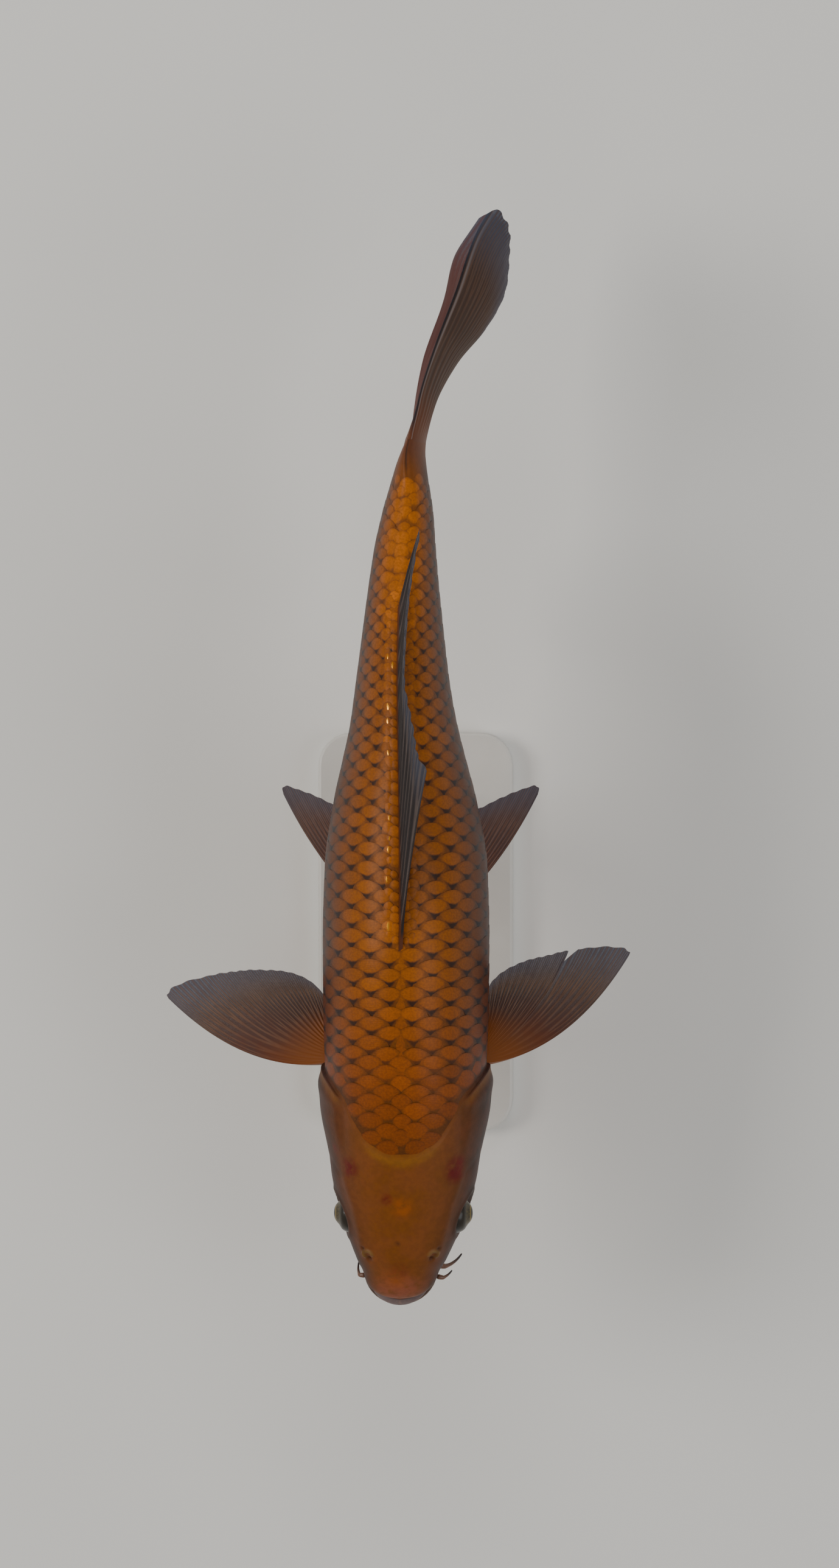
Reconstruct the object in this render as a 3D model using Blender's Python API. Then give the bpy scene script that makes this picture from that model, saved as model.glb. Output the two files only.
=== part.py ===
"""A koi carp at life size, still, on a plain display stand.

The fish swims along -Y with its back up (+Z), its left side at +X and its tail at +Y.
The origin is the middle of the underside of the stand's base. Sizes are in metres.
The body is one smooth form, parted by thin cuts into head, trunk lengths and tail stalk.
Every fin is a thin curved slab. Nothing moves.
"""

import math

import bmesh
import bpy
from mathutils import Vector

MM = 0.001

# The fish's lengths along its body, from the tip of the snout
SNOUT_Y = -150 * MM
AXIS_HEIGHT = 120 * MM
STALK_END = 353 * MM
TRUNK_PARTING = 190 * MM
STALK_PARTING = 285 * MM

# Thin cuts and clearances between neighbouring pieces
CUT = 0.3 * MM

# Stand
BASE_LENGTH = 172 * MM
BASE_WIDTH = 84 * MM
BASE_THICKNESS = 10 * MM
BASE_CORNER = 14 * MM
BASE_EDGE = 1.2 * MM
ROD_RADIUS = 3.5 * MM
ROD_FRONT_Y = -48 * MM
ROD_REAR_Y = 52 * MM

# Body form, in millimetres: each curve is (distance behind the snout, size)
HALF_WIDTH = ((1.5, 15.5), (14, 15.7), (20, 18.4), (30, 22.6), (40, 26.0), (50, 28.9), (57, 30.2),
              (70, 31.3), (99, 33.4), (120, 34.1), (150, 34.4), (180, 33.6), (208, 29.4),
              (223, 25.8), (238, 22.3), (253, 19.9), (293, 15.0), (313, 12.6), (327, 10.4),
              (338, 8.0), (348, 5.3), (353, 4.3))
BACK_HEIGHT = ((1.5, 11.0), (10, 15.0), (15, 18.0), (25, 23.6), (41, 30.6), (60, 38.0), (80, 45.0),
               (99, 50.0), (125, 55.0), (150, 57.5), (180, 57.0), (210, 54.0), (240, 48.5),
               (262, 43.0), (290, 34.5), (310, 28.0), (325, 24.3), (337, 22.6), (353, 22.8))
BELLY_DEPTH = ((1.5, 14.5), (10, 16.0), (15, 18.4), (25, 23.0), (41, 28.6), (60, 33.6), (80, 37.8),
               (99, 41.0), (125, 44.5), (150, 46.5), (180, 46.5), (210, 43.5), (240, 38.0),
               (262, 33.0), (290, 24.5), (310, 19.8), (325, 17.8), (337, 17.6), (353, 19.5))
SQUARENESS = ((1.5, 2.2), (30, 2.4), (60, 2.35), (120, 2.2), (353, 2.0))
SIDEWAYS_BEND = ((0, -2.5), (20, -1.6), (41, -0.7), (84, -0.1), (144, 0.2), (174, 0.2), (233, -0.7),
                 (258, -1.2), (283, -1.0), (308, -0.4), (323, 0.7), (337, 1.7), (343, 2.2),
                 (348, 3.0), (353, 4.3))
SNOUT_FRONT = 1.5
SNOUT_ROUNDING = 14.0
STALK_CUP_START = 330.0
STALK_CUP = 2.2

# Head
PARTING_SIDE = 90.0
PARTING_TOP_RISE = 26.0
PARTING_BOTTOM_RISE = 14.0
EYE_ALONG = 39.5
EYE_RADIUS = 8.5
EYE_OUT = 19.1
EYE_UP = 7.0
LIP_STEPS = 14
LIP_SIDES = 8
# Each lip: how far its middle lies behind the snout, its height, the droop of its corners,
# its arch's half-width and depth, and its half-thickness in the middle and at the corners
LIPS = {
    "upper_lip": (1.9, -2.6, 4.6, 14.1, 12.1, 2.0, 1.3),
    "lower_lip": (3.4, -7.2, 3.4, 12.4, 10.6, 1.9, 0.9),
}
BARBEL_SIDES = 6
# Each barbel: its root's distance behind the snout and angle, its bend, its reach and radius
BARBELS = {
    "barbel_short_left": (12.5, -4, (2.4, 0.4, -1.4), (4.2, 2.8, -4.0), 0.75),
    "barbel_long_left": (16.5, -28, (5.0, 0.2, -3.2), (8.2, 4.8, -7.5), 0.95),
    "barbel_short_right": (13.0, 184, (-1.6, 1.4, -2.6), (-1.0, 5.4, -6.0), 0.75),
    "barbel_long_right": (17.5, 208, (-2.0, 0.2, -4.6), (0.2, 6.4, -11.5), 0.95),
}

# Gill cover: a thin plate that lies over the rear of the cheek
GILL_MIDDLE = math.radians(-8)
GILL_REACH = math.radians(54)
GILL_FRONT = 57.0
GILL_REAR = 99.2
GILL_REAR_SLOPE = 14.0
GILL_FRONT_SLOPE = 4.0
GILL_EDGE = 0.6
GILL_SWELL = 1.9
GILL_STAND_OFF = 0.9

# Tail fin, in millimetres: its top edge and its hollow side, along world Y
TAIL_TOP_LINE = ((203, 3.2), (219, 6.3), (238, 12.6), (261, 21.9), (282, 29.6), (296, 38.0),
                 (304, 43.0))
TAIL_BULGE = ((203, 2.8), (222, 8.0), (236, 12.5), (248, 18.5), (262, 22.2), (276, 24.0),
              (287, 28.5), (300, 34.0))
TAIL_LOWER_SET = ((203, 2.0), (218, 3.4), (243, 7.0), (266, 8.2), (287, 10.7), (303, 10.0))
TAIL_FORK = 42.2
# Each lobe: its length, its root's height and its tip's height
TAIL_UPPER = (91.5, 22.0, 43.0)
TAIL_LOWER = (100.0, 18.8, 41.0)

# Dorsal fin: its rays' roots along the back, and its outer edge as
# (share of the base, world Y, height over the back, lean to the left), in millimetres
DORSAL_FRONT = -1.0
DORSAL_REAR = 135.0
DORSAL_EDGE = ((0.0, 69.0, 26.0, 12.0), (0.1, 75.0, 22.5, 8.0), (0.25, 86.0, 19.5, 6.2),
               (0.5, 108.5, 16.5, 2.7), (0.75, 136.0, 14.5, 3.8), (1.0, 165.5, 13.0, 7.3))

# Anal fin, as the dorsal fin but without a lean
ANAL_FRONT = 112.0
ANAL_REAR = 136.0
ANAL_EDGE = ((0.0, 149.0, 30.0), (0.3, 155.0, 24.0), (0.65, 157.0, 15.0), (1.0, 157.0, 8.0))

# Paired fins, spread level: each edge row is (share of the fan, angle back from
# straight out in degrees, reach in millimetres)
PECTORAL_EDGE = ((0.0, 16.4, 70.5), (0.06, 18.2, 71.0), (0.25, 31.0, 57.0), (0.5, 44.0, 45.5),
                 (0.7, 58.0, 37.0), (0.88, 74.0, 28.5), (1.0, 84.0, 22.0))
PELVIC_EDGE = ((0.0, 48.0, 60.0), (0.1, 50.0, 62.0), (0.3, 55.0, 56.0), (0.6, 64.0, 45.0),
               (0.85, 74.0, 37.0), (1.0, 80.0, 31.0))
PECTORAL_ROOT = ((33.2, -51.5, -19.0), (32.6, -38.0, -24.0))
PECTORAL_SWEEP = {"left": 16.5, "right": 0.0}
PELVIC_ROOT = ((16.0, 9.5, -45.8), (11.5, 21.5, -47.0))
PAIRED_DROOP = 0.09

# Half the thickness of a fin at its free edge, and what its root adds, in millimetres
FIN_EDGE = 0.42
TAIL_ROOT_ADDS = 2.6
PECTORAL_ROOT_ADDS = 1.3
MIDDLE_ROOT_ADDS = 0.7

# Fineness of the body's mesh
RING_SIDES = 32
HEAD_RINGS = 14

COLOUR_BACK = (0.42, 0.15, 0.03, 1.0)
COLOUR_HEAD = (0.36, 0.13, 0.035, 1.0)
COLOUR_FLANK = (0.34, 0.12, 0.04, 1.0)
COLOUR_FIN = (0.16, 0.09, 0.06, 1.0)
COLOUR_EYE = (0.03, 0.025, 0.02, 1.0)
COLOUR_LIP = (0.30, 0.13, 0.06, 1.0)
COLOUR_BASE = (0.72, 0.72, 0.70, 1.0)
COLOUR_ROD = (0.60, 0.60, 0.60, 1.0)


# ---------------------------------------------------------------- curves and the body form

def smooth_curve(points, at):
    """The value at a place along a smooth curve through (place, value) points."""
    if at <= points[0][0]:
        return points[0][1]
    if at >= points[-1][0]:
        return points[-1][1]
    slopes = [(b[1] - a[1]) / (b[0] - a[0]) for a, b in zip(points, points[1:])]
    k = max(i for i in range(len(slopes)) if points[i][0] <= at)
    start = joint_slope(slopes, k)
    end = joint_slope(slopes, k + 1)
    width = points[k + 1][0] - points[k][0]
    t = (at - points[k][0]) / width
    low, high = points[k][1], points[k + 1][1]
    return (low * (2 * t ** 3 - 3 * t ** 2 + 1) + high * (3 * t ** 2 - 2 * t ** 3)
            + width * (start * (t ** 3 - 2 * t ** 2 + t) + end * (t ** 3 - t ** 2)))


def joint_slope(slopes, k):
    """The slope where two stretches meet, without overshoot."""
    if k == 0:
        return slopes[0]
    if k == len(slopes):
        return slopes[-1]
    before, after = slopes[k - 1], slopes[k]
    if before * after <= 0:
        return 0.0
    return 2 * before * after / (before + after)


def snout_rounding(along):
    """How far the blunt snout has opened, from 0 at its front to 1 behind it."""
    reach = min(1.0, (along - SNOUT_FRONT) / SNOUT_ROUNDING)
    return math.sqrt(max(0.0, 1 - (1 - reach) ** 2))


def body_point(along, angle, out=0.0):
    """A point of the body's surface, in metres.

    along is the distance behind the snout in millimetres, angle runs from the fish's
    left side (0) over its back (90 degrees), and out is a distance off the surface.
    """
    if out:
        step = 0.4
        turn = 0.02
        here = body_point(along, angle)
        lengthwise = body_point(along + step, angle) - body_point(along - step, angle)
        around = body_point(along, angle + turn) - body_point(along, angle - turn)
        return here + lengthwise.cross(around).normalized() * out * MM
    opening = snout_rounding(along)
    power = 2 / smooth_curve(SQUARENESS, along)
    cosine, sine = math.cos(angle), math.sin(angle)
    height = BACK_HEIGHT if sine >= 0 else BELLY_DEPTH
    tall = smooth_curve(height, along) * opening
    z = math.copysign(abs(sine) ** power, sine)
    x = smooth_curve(HALF_WIDTH, along) * opening * math.copysign(abs(cosine) ** power, cosine)
    cup = STALK_CUP * smooth_step((along - STALK_CUP_START) / (STALK_END / MM - STALK_CUP_START))
    x += smooth_curve(SIDEWAYS_BEND, along) - cup * z * z
    return Vector((x * MM, SNOUT_Y + along * MM, AXIS_HEIGHT + tall * z * MM))


def smooth_step(t):
    """A smooth rise from 0 to 1."""
    t = min(1.0, max(0.0, t))
    return t * t * (3 - 2 * t)


def back_point(y):
    """The ridge of the back at a world Y, in metres."""
    return body_point((y - SNOUT_Y) / MM, math.pi / 2)


def belly_point(y):
    """The keel of the belly at a world Y, in metres."""
    return body_point((y - SNOUT_Y) / MM, -math.pi / 2)


def even_steps(first, last, count):
    """count + 1 numbers from first to last."""
    return [first + (last - first) * i / count for i in range(count + 1)]


# ---------------------------------------------------------------- mesh helpers

def material(name, colour, roughness, metallic=0.0):
    """A plain surface of one colour."""
    made = bpy.data.materials.new(name)
    made.use_nodes = True
    shader = made.node_tree.nodes["Principled BSDF"]
    shader.inputs["Base Color"].default_value = colour
    shader.inputs["Roughness"].default_value = roughness
    shader.inputs["Metallic"].default_value = metallic
    return made


def add_object(name, mesh, surface):
    """Link a mesh into the scene as one named, smooth-shaded piece."""
    mesh.materials.append(surface)
    mesh.shade_smooth()
    mesh.set_sharp_from_angle(angle=math.radians(40))
    piece = bpy.data.objects.new(name, mesh)
    bpy.context.scene.collection.objects.link(piece)
    return piece


def mesh_from_faces(name, points, faces):
    """A closed mesh with its faces turned outward."""
    shape = bmesh.new()
    verts = [shape.verts.new(point) for point in points]
    for face in faces:
        shape.faces.new([verts[i] for i in face])
    bmesh.ops.recalc_face_normals(shape, faces=shape.faces)
    mesh = bpy.data.meshes.new(name)
    shape.to_mesh(mesh)
    shape.free()
    return mesh


def lofted_mesh(name, rings, front, rear):
    """A skin over closed rings of equal size, with a fan to a point at each end."""
    sides = len(rings[0])
    points = [point for ring in rings for point in ring] + [front, rear]
    faces = []
    for row in range(len(rings) - 1):
        for i in range(sides):
            j = (i + 1) % sides
            faces.append((row * sides + i, row * sides + j,
                          (row + 1) * sides + j, (row + 1) * sides + i))
    last = (len(rings) - 1) * sides
    for i in range(sides):
        j = (i + 1) % sides
        faces.append((len(points) - 2, j, i))
        faces.append((len(points) - 1, last + i, last + j))
    return mesh_from_faces(name, points, faces)


def slab_mesh(name, inner, outer):
    """A closed slab between two grids of points of equal size."""
    rows, columns = len(inner), len(inner[0])
    points = [p for row in inner for p in row] + [p for row in outer for p in row]
    half = rows * columns
    faces = []
    for r in range(rows - 1):
        for c in range(columns - 1):
            a = r * columns + c
            b, d, e = a + 1, a + columns, a + columns + 1
            faces.append((a, b, e, d))
            faces.append((half + a, half + d, half + e, half + b))
    rim = [c for c in range(columns)]
    rim += [r * columns + columns - 1 for r in range(1, rows)]
    rim += [(rows - 1) * columns + c for c in range(columns - 2, -1, -1)]
    rim += [r * columns for r in range(rows - 2, 0, -1)]
    for a, b in zip(rim, rim[1:] + rim[:1]):
        faces.append((a, half + a, half + b, b))
    return mesh_from_faces(name, points, faces)


def fin_mesh(name, rays, half_thickness, level_axis=None):
    """A slab about a grid of ray points; half_thickness(ray share, length share) in mm.

    level_axis is the world axis that the slab's root face stays square to.
    """
    last_ray, last_step = len(rays) - 1, len(rays[0]) - 1
    sides = ([], [])
    for r, ray in enumerate(rays):
        before, after = rays[max(r - 1, 0)], rays[min(r + 1, last_ray)]
        rows = ([], [])
        for k, point in enumerate(ray):
            lengthwise = ray[min(k + 1, last_step)] - ray[max(k - 1, 0)]
            across = after[k] - before[k]
            normal = across.cross(lengthwise)
            if k == 0 and level_axis is not None:
                normal[level_axis] = 0
            normal.normalize()
            half = half_thickness(r / last_ray, k / last_step) * MM
            rows[0].append(point + normal * half)
            rows[1].append(point - normal * half)
        sides[0].append(rows[0])
        sides[1].append(rows[1])
    return slab_mesh(name, sides[0], sides[1])


def bowed_ray(root, turn, tip, steps):
    """Points along a ray that leaves its root toward turn and ends at tip."""
    return [root * (1 - t) ** 2 + turn * 2 * t * (1 - t) + tip * t * t
            for t in even_steps(0.0, 1.0, steps)]


def tube_mesh(name, centres, radii, sides):
    """A tapering tube with rounded ends along a smooth row of centres."""
    rings = []
    last = len(centres) - 1
    for k, centre in enumerate(centres):
        ahead = (centres[min(k + 1, last)] - centres[max(k - 1, 0)]).normalized()
        side = ahead.cross(Vector((0, 0, 1))).normalized()
        rise = side.cross(ahead)
        wide, tall = radii[k]
        rings.append([centre + side * wide * math.cos(a) + rise * tall * math.sin(a)
                      for a in even_steps(0.0, 2 * math.pi, sides)[:-1]])
    start = centres[0] + (centres[0] - centres[1]).normalized() * radii[0][0] * 0.5
    end = centres[-1] + (centres[-1] - centres[-2]).normalized() * radii[-1][0] * 0.5
    return lofted_mesh(name, rings, start, end)


def cut_with(piece, cutter):
    """Cut a piece with a guide that stays out of the model."""
    cutter.hide_render = True
    cutter.display_type = "WIRE"
    cut = piece.modifiers.new("Cut " + cutter.name, "BOOLEAN")
    cut.operation = "DIFFERENCE"
    cut.solver = "EXACT"
    cut.object = cutter


# ---------------------------------------------------------------- body

def head_parting(angle):
    """Where the head ends, behind the snout: a curve that rises forward over the nape."""
    rise = PARTING_TOP_RISE if math.sin(angle) > 0 else PARTING_BOTTOM_RISE
    return PARTING_SIDE - rise * math.sin(angle) ** 2


def body_ring(place):
    """One ring of the body; place(angle) is its distance behind the snout."""
    angles = even_steps(0.0, 2 * math.pi, RING_SIDES)[:-1]
    return [body_point(place(angle), angle) for angle in angles]


def parting_middle():
    """The middle of the head's parting, behind the snout."""
    return sum(head_parting(a) for a in (0.0, math.pi / 2, -math.pi / 2)) / 3


def build_head(surface):
    """The head without gill covers, lips and eyes."""
    shares = [(k / HEAD_RINGS) ** 1.5 for k in range(1, HEAD_RINGS + 1)]
    rings = [body_ring(lambda a, t=t: SNOUT_FRONT + t * (head_parting(a) - SNOUT_FRONT))
             for t in shares]
    front = Vector((SIDEWAYS_BEND[0][1] * MM, SNOUT_Y + SNOUT_FRONT * MM, AXIS_HEIGHT))
    rear = body_middle(parting_middle())
    return add_object("head", lofted_mesh("head", rings, front, rear), surface)


def build_trunk_length(name, first, last, front_along, rear_along, rows, surface):
    """A length of the body between two partings, which are functions of the angle."""
    rings = [body_ring(lambda a, t=t: first(a) + t * (last(a) - first(a)))
             for t in even_steps(0.0, 1.0, rows)]
    front = body_middle(front_along)
    rear = body_middle(rear_along)
    return add_object(name, lofted_mesh(name, rings, front, rear), surface)


def body_middle(along):
    """The body's middle at a distance behind the snout, in millimetres."""
    return Vector((smooth_curve(SIDEWAYS_BEND, along) * MM, SNOUT_Y + along * MM, AXIS_HEIGHT))


def build_trunk(surface):
    """The front and rear of the trunk and the tail stalk."""
    trunk_cut = TRUNK_PARTING / MM
    stalk_cut = STALK_PARTING / MM
    end = STALK_END / MM
    gap = CUT / MM
    build_trunk_length("trunk_front", lambda a: head_parting(a) + gap, lambda a: trunk_cut,
                       parting_middle() + gap, trunk_cut, 10, surface)
    build_trunk_length("trunk_rear", lambda a: trunk_cut + gap, lambda a: stalk_cut,
                       trunk_cut + gap, stalk_cut, 9, surface)
    build_trunk_length("tail_stalk", lambda a: stalk_cut + gap, lambda a: end,
                       stalk_cut + gap, end, 9, surface)


# ---------------------------------------------------------------- head parts

def eye_centre(side):
    """The middle of an eyeball; side is 1 on the fish's left and -1 on its right."""
    middle = body_middle(EYE_ALONG)
    return middle + Vector((side * EYE_OUT * MM, 0, EYE_UP * MM))


def ball(name, centre, radius, surface):
    """A round ball."""
    shape = bmesh.new()
    bmesh.ops.create_uvsphere(shape, u_segments=16, v_segments=10, radius=radius)
    bmesh.ops.rotate(shape, verts=shape.verts, matrix=turn_to_side())
    bmesh.ops.translate(shape, verts=shape.verts, vec=centre)
    mesh = bpy.data.meshes.new(name)
    shape.to_mesh(mesh)
    shape.free()
    return add_object(name, mesh, surface)


def turn_to_side():
    """A quarter turn that points a ball's pole sideways."""
    return Vector((0, 0, 1)).rotation_difference(Vector((1, 0, 0))).to_matrix()


def build_eyes(head, surface):
    """Both eyeballs, each in a socket cut in the head."""
    for word, side in (("left", 1), ("right", -1)):
        centre = eye_centre(side)
        ball("eye_" + word, centre, EYE_RADIUS * MM, surface)
        socket = ball("guide_socket_" + word, centre, EYE_RADIUS * MM + CUT, surface)
        cut_with(head, socket)


def lip_centres(set_back, level, droop, wide, deep):
    """The middle line of a lip: an arch round the front of the snout."""
    points = []
    for k in range(LIP_STEPS + 1):
        angle = math.radians(-96 + 192 * k / LIP_STEPS)
        along = set_back + deep * (1 - math.cos(angle))
        x = SIDEWAYS_BEND[0][1] + wide * math.sin(angle)
        z = level - droop * (1 - math.cos(angle))
        points.append(Vector((x * MM, SNOUT_Y + along * MM, AXIS_HEIGHT + z * MM)))
    return points


def lip_radii(full, corner, grow):
    """The lip's half-widths along its arch: full in the middle, thin at the corners."""
    radii = []
    for k in range(LIP_STEPS + 1):
        share = abs(2 * k / LIP_STEPS - 1) ** 2
        size = (full + (corner - full) * share) * MM + grow
        radii.append((size, size * 1.1))
    return radii


def build_lips(head, surface):
    """The upper and lower lips, let into the front of the head."""
    for name, (set_back, level, droop, wide, deep, full, corner) in LIPS.items():
        centres = lip_centres(set_back, level, droop, wide, deep)
        mesh = tube_mesh(name, centres, lip_radii(full, corner, 0.0), LIP_SIDES)
        add_object(name, mesh, surface)
        guide = "guide_" + name
        grown = tube_mesh(guide, centres, lip_radii(full, corner, CUT), LIP_SIDES)
        cut_with(head, add_object(guide, grown, surface))


def build_barbels(surface):
    """Two whiskers on each side of the mouth: a short one and a long one behind it."""
    for name, (along, angle, bend, reach, radius) in BARBELS.items():
        root = body_point(along, math.radians(angle), radius + CUT / MM + 0.25)
        turn = root + Vector(bend) * MM
        tip = root + Vector(reach) * MM
        centres = bowed_ray(root, turn, tip, 6)
        radii = [(radius * (1 - 0.6 * t) * MM,) * 2 for t in even_steps(0.0, 1.0, 6)]
        add_object(name, tube_mesh(name, centres, radii, BARBEL_SIDES), surface)


def gill_edge(share):
    """A gill cover's front and rear at a share (-1 to 1) of its height."""
    return GILL_FRONT + GILL_FRONT_SLOPE * share ** 2, GILL_REAR - GILL_REAR_SLOPE * share ** 2


def build_gill_covers(surface):
    """The two gill covers, which stand a little off the body at their rear edge."""
    for word, side in (("left", 1), ("right", -1)):
        inner, outer = [], []
        for share in even_steps(-1.0, 1.0, 10):
            angle = GILL_MIDDLE + GILL_REACH * share
            turned = angle if side > 0 else math.pi - angle
            front, rear = gill_edge(share)
            low_row, high_row = [], []
            for t in even_steps(0.0, 1.0, 8):
                along = front + (rear - front) * t
                lift = CUT / MM + GILL_STAND_OFF * smooth_step((t - 0.7) / 0.3)
                thick = GILL_EDGE + GILL_SWELL * (1 - share ** 4) * smooth_step(t / 0.35)
                thin = 1 - 0.45 * smooth_step((t - 0.8) / 0.2)
                low_row.append(body_point(along, turned, lift))
                high_row.append(body_point(along, turned, lift + thick * thin))
            inner.append(low_row)
            outer.append(high_row)
        name = "gill_cover_" + word
        add_object(name, slab_mesh(name, inner, outer), surface)


# ---------------------------------------------------------------- fins

def middle_fin_thickness(ray_share, length_share):
    """Half the thickness of a dorsal or anal fin along its rays."""
    return FIN_EDGE + MIDDLE_ROOT_ADDS * (1 - length_share) ** 1.5


def bowed(t):
    """A rise from 0 to 1 that is steeper at its start."""
    return 1.25 * t - 0.25 * t * t


def tail_ray(v, steps):
    """A ray of the tail fin; v runs from 1 at the top edge to -1 at the bottom edge."""
    lobe, edge_root, edge_tip = TAIL_UPPER if v > 0 else TAIL_LOWER
    reach = TAIL_FORK + (lobe - TAIL_FORK) * (1 - (1 - abs(v)) ** 1.2)
    root = edge_root * v
    tip = math.copysign(edge_tip * abs(v) ** 1.3, v)
    start = (SNOUT_Y + STALK_END + CUT) / MM
    ray = []
    for t in even_steps(0.0, 1.0, steps):
        along = reach * t
        rise = root + (tip - root) * bowed(t)
        edge = edge_root + (edge_tip - edge_root) * bowed(along / lobe)
        y = start + along
        share = rise / edge
        x = smooth_curve(TAIL_TOP_LINE, y) + smooth_curve(TAIL_BULGE, y) * (1 - share ** 2)
        x -= smooth_curve(TAIL_LOWER_SET, y) * (1 - share) / 2
        ray.append(Vector((x * MM, y * MM, AXIS_HEIGHT + rise * MM)))
    return ray


def build_tail_fin(surface):
    """The upper and lower lobes, which part at the fork's middle ray."""
    for name, first, last in (("tail_fin_upper", 0.012, 1.0), ("tail_fin_lower", -0.012, -1.0)):
        rays = [tail_ray(v, 11) for v in even_steps(first, last, 10)]
        mesh = fin_mesh(name, rays, lambda v, t: FIN_EDGE + TAIL_ROOT_ADDS * (1 - v ** 3) * (1 - t) ** 3, 1)
        add_object(name, mesh, surface)


def dorsal_ray(share, steps):
    """A ray of the dorsal fin, swept far back and leaning to the fish's left."""
    root_y = DORSAL_FRONT + (DORSAL_REAR - DORSAL_FRONT) * share
    tip_y, height, lean = (smooth_curve([(row[0], row[k]) for row in DORSAL_EDGE], share)
                           for k in (1, 2, 3))
    root = back_point(root_y * MM) + Vector((0, 0, CUT))
    tip = back_point(tip_y * MM) + Vector((lean * MM, 0, height * MM))
    turn = root.lerp(tip, 0.5) + Vector((-0.12 * lean * MM, 0, 0.08 * height * MM))
    return bowed_ray(root, turn, tip, steps)


def build_dorsal_fin(surface):
    """The long dorsal fin, half folded."""
    rays = [dorsal_ray(share, 5) for share in even_steps(0.0, 1.0, 20)]
    mesh = fin_mesh("dorsal_fin", rays, middle_fin_thickness, 2)
    add_object("dorsal_fin", mesh, surface)


def build_anal_fin(surface):
    """The short anal fin under the tail, swept back."""
    rays = []
    for share in even_steps(0.0, 1.0, 8):
        root_y = ANAL_FRONT + (ANAL_REAR - ANAL_FRONT) * share
        tip_y, depth = (smooth_curve([(row[0], row[k]) for row in ANAL_EDGE], share)
                        for k in (1, 2))
        root = belly_point(root_y * MM) - Vector((0, 0, CUT))
        tip = belly_point(tip_y * MM) - Vector((0, 0, depth * MM))
        turn = root.lerp(tip, 0.5) - Vector((0, 0, 0.12 * depth * MM))
        rays.append(bowed_ray(root, turn, tip, 5))
    mesh = fin_mesh("anal_fin", rays, middle_fin_thickness, 2)
    add_object("anal_fin", mesh, surface)


def paired_fin_rays(root_line, edge, sweep, bow_angle, side, count):
    """Rays of a fin that spreads from a short root on the fish's side.

    sweep turns the whole fin back, and bow_angle is how much the leading ray bows; both
    are in degrees.
    """
    root_front, root_rear = (Vector(end) * MM + Vector((0, 0, AXIS_HEIGHT)) for end in root_line)
    rays = []
    for share in even_steps(0.0, 1.0, count):
        root = root_front.lerp(root_rear, share)
        angle, reach = (smooth_curve([(row[0], row[k]) for row in edge], share) for k in (1, 2))
        tip_angle = math.radians(angle + sweep * (1 - 0.45 * share))
        start_angle = tip_angle - math.radians(bow_angle) * (1 - share)
        fan = root_front.lerp(root_rear, 0.5)
        tip = fan + Vector((math.cos(tip_angle), math.sin(tip_angle), -PAIRED_DROOP)) * reach * MM
        bow = Vector((math.cos(start_angle), math.sin(start_angle), -1.6 * PAIRED_DROOP))
        turn = root + bow * reach * 0.5 * MM
        rays.append([Vector((side * p.x, p.y, p.z)) for p in bowed_ray(root, turn, tip, 7)])
    return rays


def build_pectoral_fins(surface):
    """The two pectoral fins behind the gill covers, the left one swept further back."""
    for word, side in (("left", 1), ("right", -1)):
        sweep = PECTORAL_SWEEP[word]
        rays = paired_fin_rays(PECTORAL_ROOT, PECTORAL_EDGE, sweep, 24.0, side, 14)
        name = "pectoral_fin_" + word
        mesh = fin_mesh(name, rays, lambda v, t: FIN_EDGE + PECTORAL_ROOT_ADDS * (1 - t) ** 2)
        add_object(name, mesh, surface)


def build_pelvic_fins(surface):
    """The two pelvic fins on the belly."""
    for word, side in (("left", 1), ("right", -1)):
        rays = paired_fin_rays(PELVIC_ROOT, PELVIC_EDGE, 0.0, 7.0, side, 10)
        name = "pelvic_fin_" + word
        mesh = fin_mesh(name, rays, lambda v, t: FIN_EDGE + MIDDLE_ROOT_ADDS * (1 - t) ** 2)
        add_object(name, mesh, surface)


# ---------------------------------------------------------------- stand

def build_stand(base_surface, rod_surface):
    """A flat base with two short rods up to the belly."""
    shape = bmesh.new()
    bmesh.ops.create_cube(shape, size=1.0)
    bmesh.ops.scale(shape, verts=shape.verts, vec=(BASE_WIDTH, BASE_LENGTH, BASE_THICKNESS))
    bmesh.ops.translate(shape, verts=shape.verts, vec=(0, 0, BASE_THICKNESS / 2))
    upright = [e for e in shape.edges if abs(e.verts[0].co.z - e.verts[1].co.z) > BASE_EDGE]
    bmesh.ops.bevel(shape, geom=upright, offset=BASE_CORNER, segments=6, affect="EDGES",
                    profile=0.5)
    rim = [e for e in shape.edges if min(v.co.z for v in e.verts) > BASE_THICKNESS - BASE_EDGE]
    bmesh.ops.bevel(shape, geom=rim, offset=BASE_EDGE, segments=2, affect="EDGES", profile=0.5)
    mesh = bpy.data.meshes.new("stand_base")
    shape.to_mesh(mesh)
    shape.free()
    add_object("stand_base", mesh, base_surface)
    for name, y in (("stand_rod_front", ROD_FRONT_Y), ("stand_rod_rear", ROD_REAR_Y)):
        add_rod(name, y, rod_surface)


def add_rod(name, y, surface):
    """An upright round rod from the base to just under the belly."""
    foot = BASE_THICKNESS + CUT
    top = min(belly_point(y + d * ROD_RADIUS).z for d in (-1, 0, 1)) - CUT
    shape = bmesh.new()
    bmesh.ops.create_cone(shape, cap_ends=True, segments=20, radius1=ROD_RADIUS,
                          radius2=ROD_RADIUS, depth=top - foot)
    bmesh.ops.translate(shape, verts=shape.verts, vec=(0, y, (top + foot) / 2))
    mesh = bpy.data.meshes.new(name)
    shape.to_mesh(mesh)
    shape.free()
    add_object(name, mesh, surface)


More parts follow.
